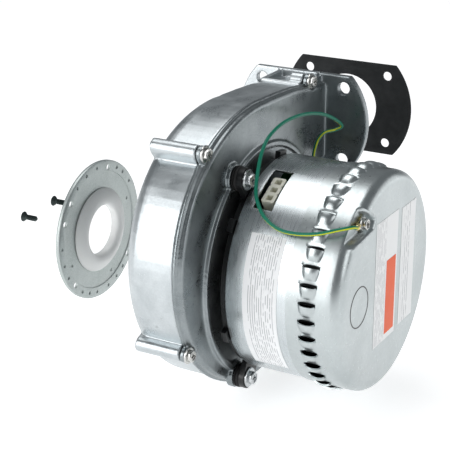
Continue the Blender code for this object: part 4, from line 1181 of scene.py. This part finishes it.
place(build_wheel(), "impeller_blades_and_disc", "rotor", WHEEL,
      ["impeller_wheel"])
place(build_shroud(), "impeller_front_shroud", "rotor", WHEEL,
      ["impeller_shroud"])

# ---------------------------------------------------------------- CAD nodes that keep their shape
KEPT = {
    "shaft_seal": FELT, "bearing_outer_front": BEARING, "bearing_outer_rear": BEARING,
    "bearing_inner_front": BEARING, "bearing_inner_rear": BEARING,
    "bearing_balls_front": BEARING, "bearing_balls_rear": BEARING,
    "stator_core": LAMINATION, "stator_winding": COPPER, "rear_bracket": BLACK,
    "control_board": BOARD, "capacitor_1": SLEEVE, "capacitor_2": SLEEVE,
    "connector_pin_1": BRASS, "connector_pin_2": BRASS, "connector_pin_3": BRASS,
    "shaft": SHAFT, "impeller_nut": SCREW, "rotor_core": LAMINATION, "rotor_magnet": MAGNET,
    "cooling_fan": FAN_PLASTIC,
}
for name, mat in KEPT.items():
    nodes[name].data.materials.clear()
    nodes[name].data.materials.append(mat)


# ---------------------------------------------------------------- floor and light
def add_floor():
    low = cad_box[0][2] - 0.0005
    bm = bmesh.new()
    bmesh.ops.create_grid(bm, x_segments=1, y_segments=1, size=6.0,
                          matrix=Matrix.Translation((FAN.x, FAN.y, low)))
    floor = as_object(bm, "floor")
    f = Finish("floor_paper", 0.0, 0.7, Emission_Color=(1.0, 1.0, 1.0, 1.0),
               Emission_Strength=0.62)
    f.colour(f.mix(f.noise(400, 2), (0.86, 0.865, 0.87), (0.89, 0.89, 0.895)))
    floor.data.materials.append(f.material)


def add_softbox(name, direction, distance, size, radiance):
    """Square area light facing the fan; its watts follow from how bright it should look."""
    data = bpy.data.lights.new(name, 'AREA')
    data.shape = 'RECTANGLE'
    data.size, data.size_y = size
    data.energy = radiance * math.pi * size[0] * size[1]
    light = bpy.data.objects.new(name, data)
    way = Vector(direction).normalized()
    light.location = FAN + way * distance
    light.rotation_euler = way.to_track_quat('Z', 'Y').to_euler()
    bpy.context.scene.collection.objects.link(light)


def add_world():
    world = bpy.data.worlds.new("studio")
    world.use_nodes = True
    background = world.node_tree.nodes["Background"]
    background.inputs["Color"].default_value = (0.60, 0.64, 0.67, 1.0)
    background.inputs["Strength"].default_value = 0.30
    bpy.context.scene.world = world


add_floor()
add_softbox("key_left", (-0.52, -0.82, 0.30), 1.5, (0.8, 1.1), 3.6)
add_softbox("top", (-0.28, 0.12, 1.0), 2.0, (1.3, 1.3), 2.9)
add_softbox("face_fill", (0.92, -0.25, 0.35), 1.7, (0.9, 0.9), 1.7)
add_softbox("right_back", (0.60, 0.80, 0.10), 1.8, (1.2, 0.9), 1.0)
add_world()
bpy.context.scene.view_settings.view_transform = 'Standard'
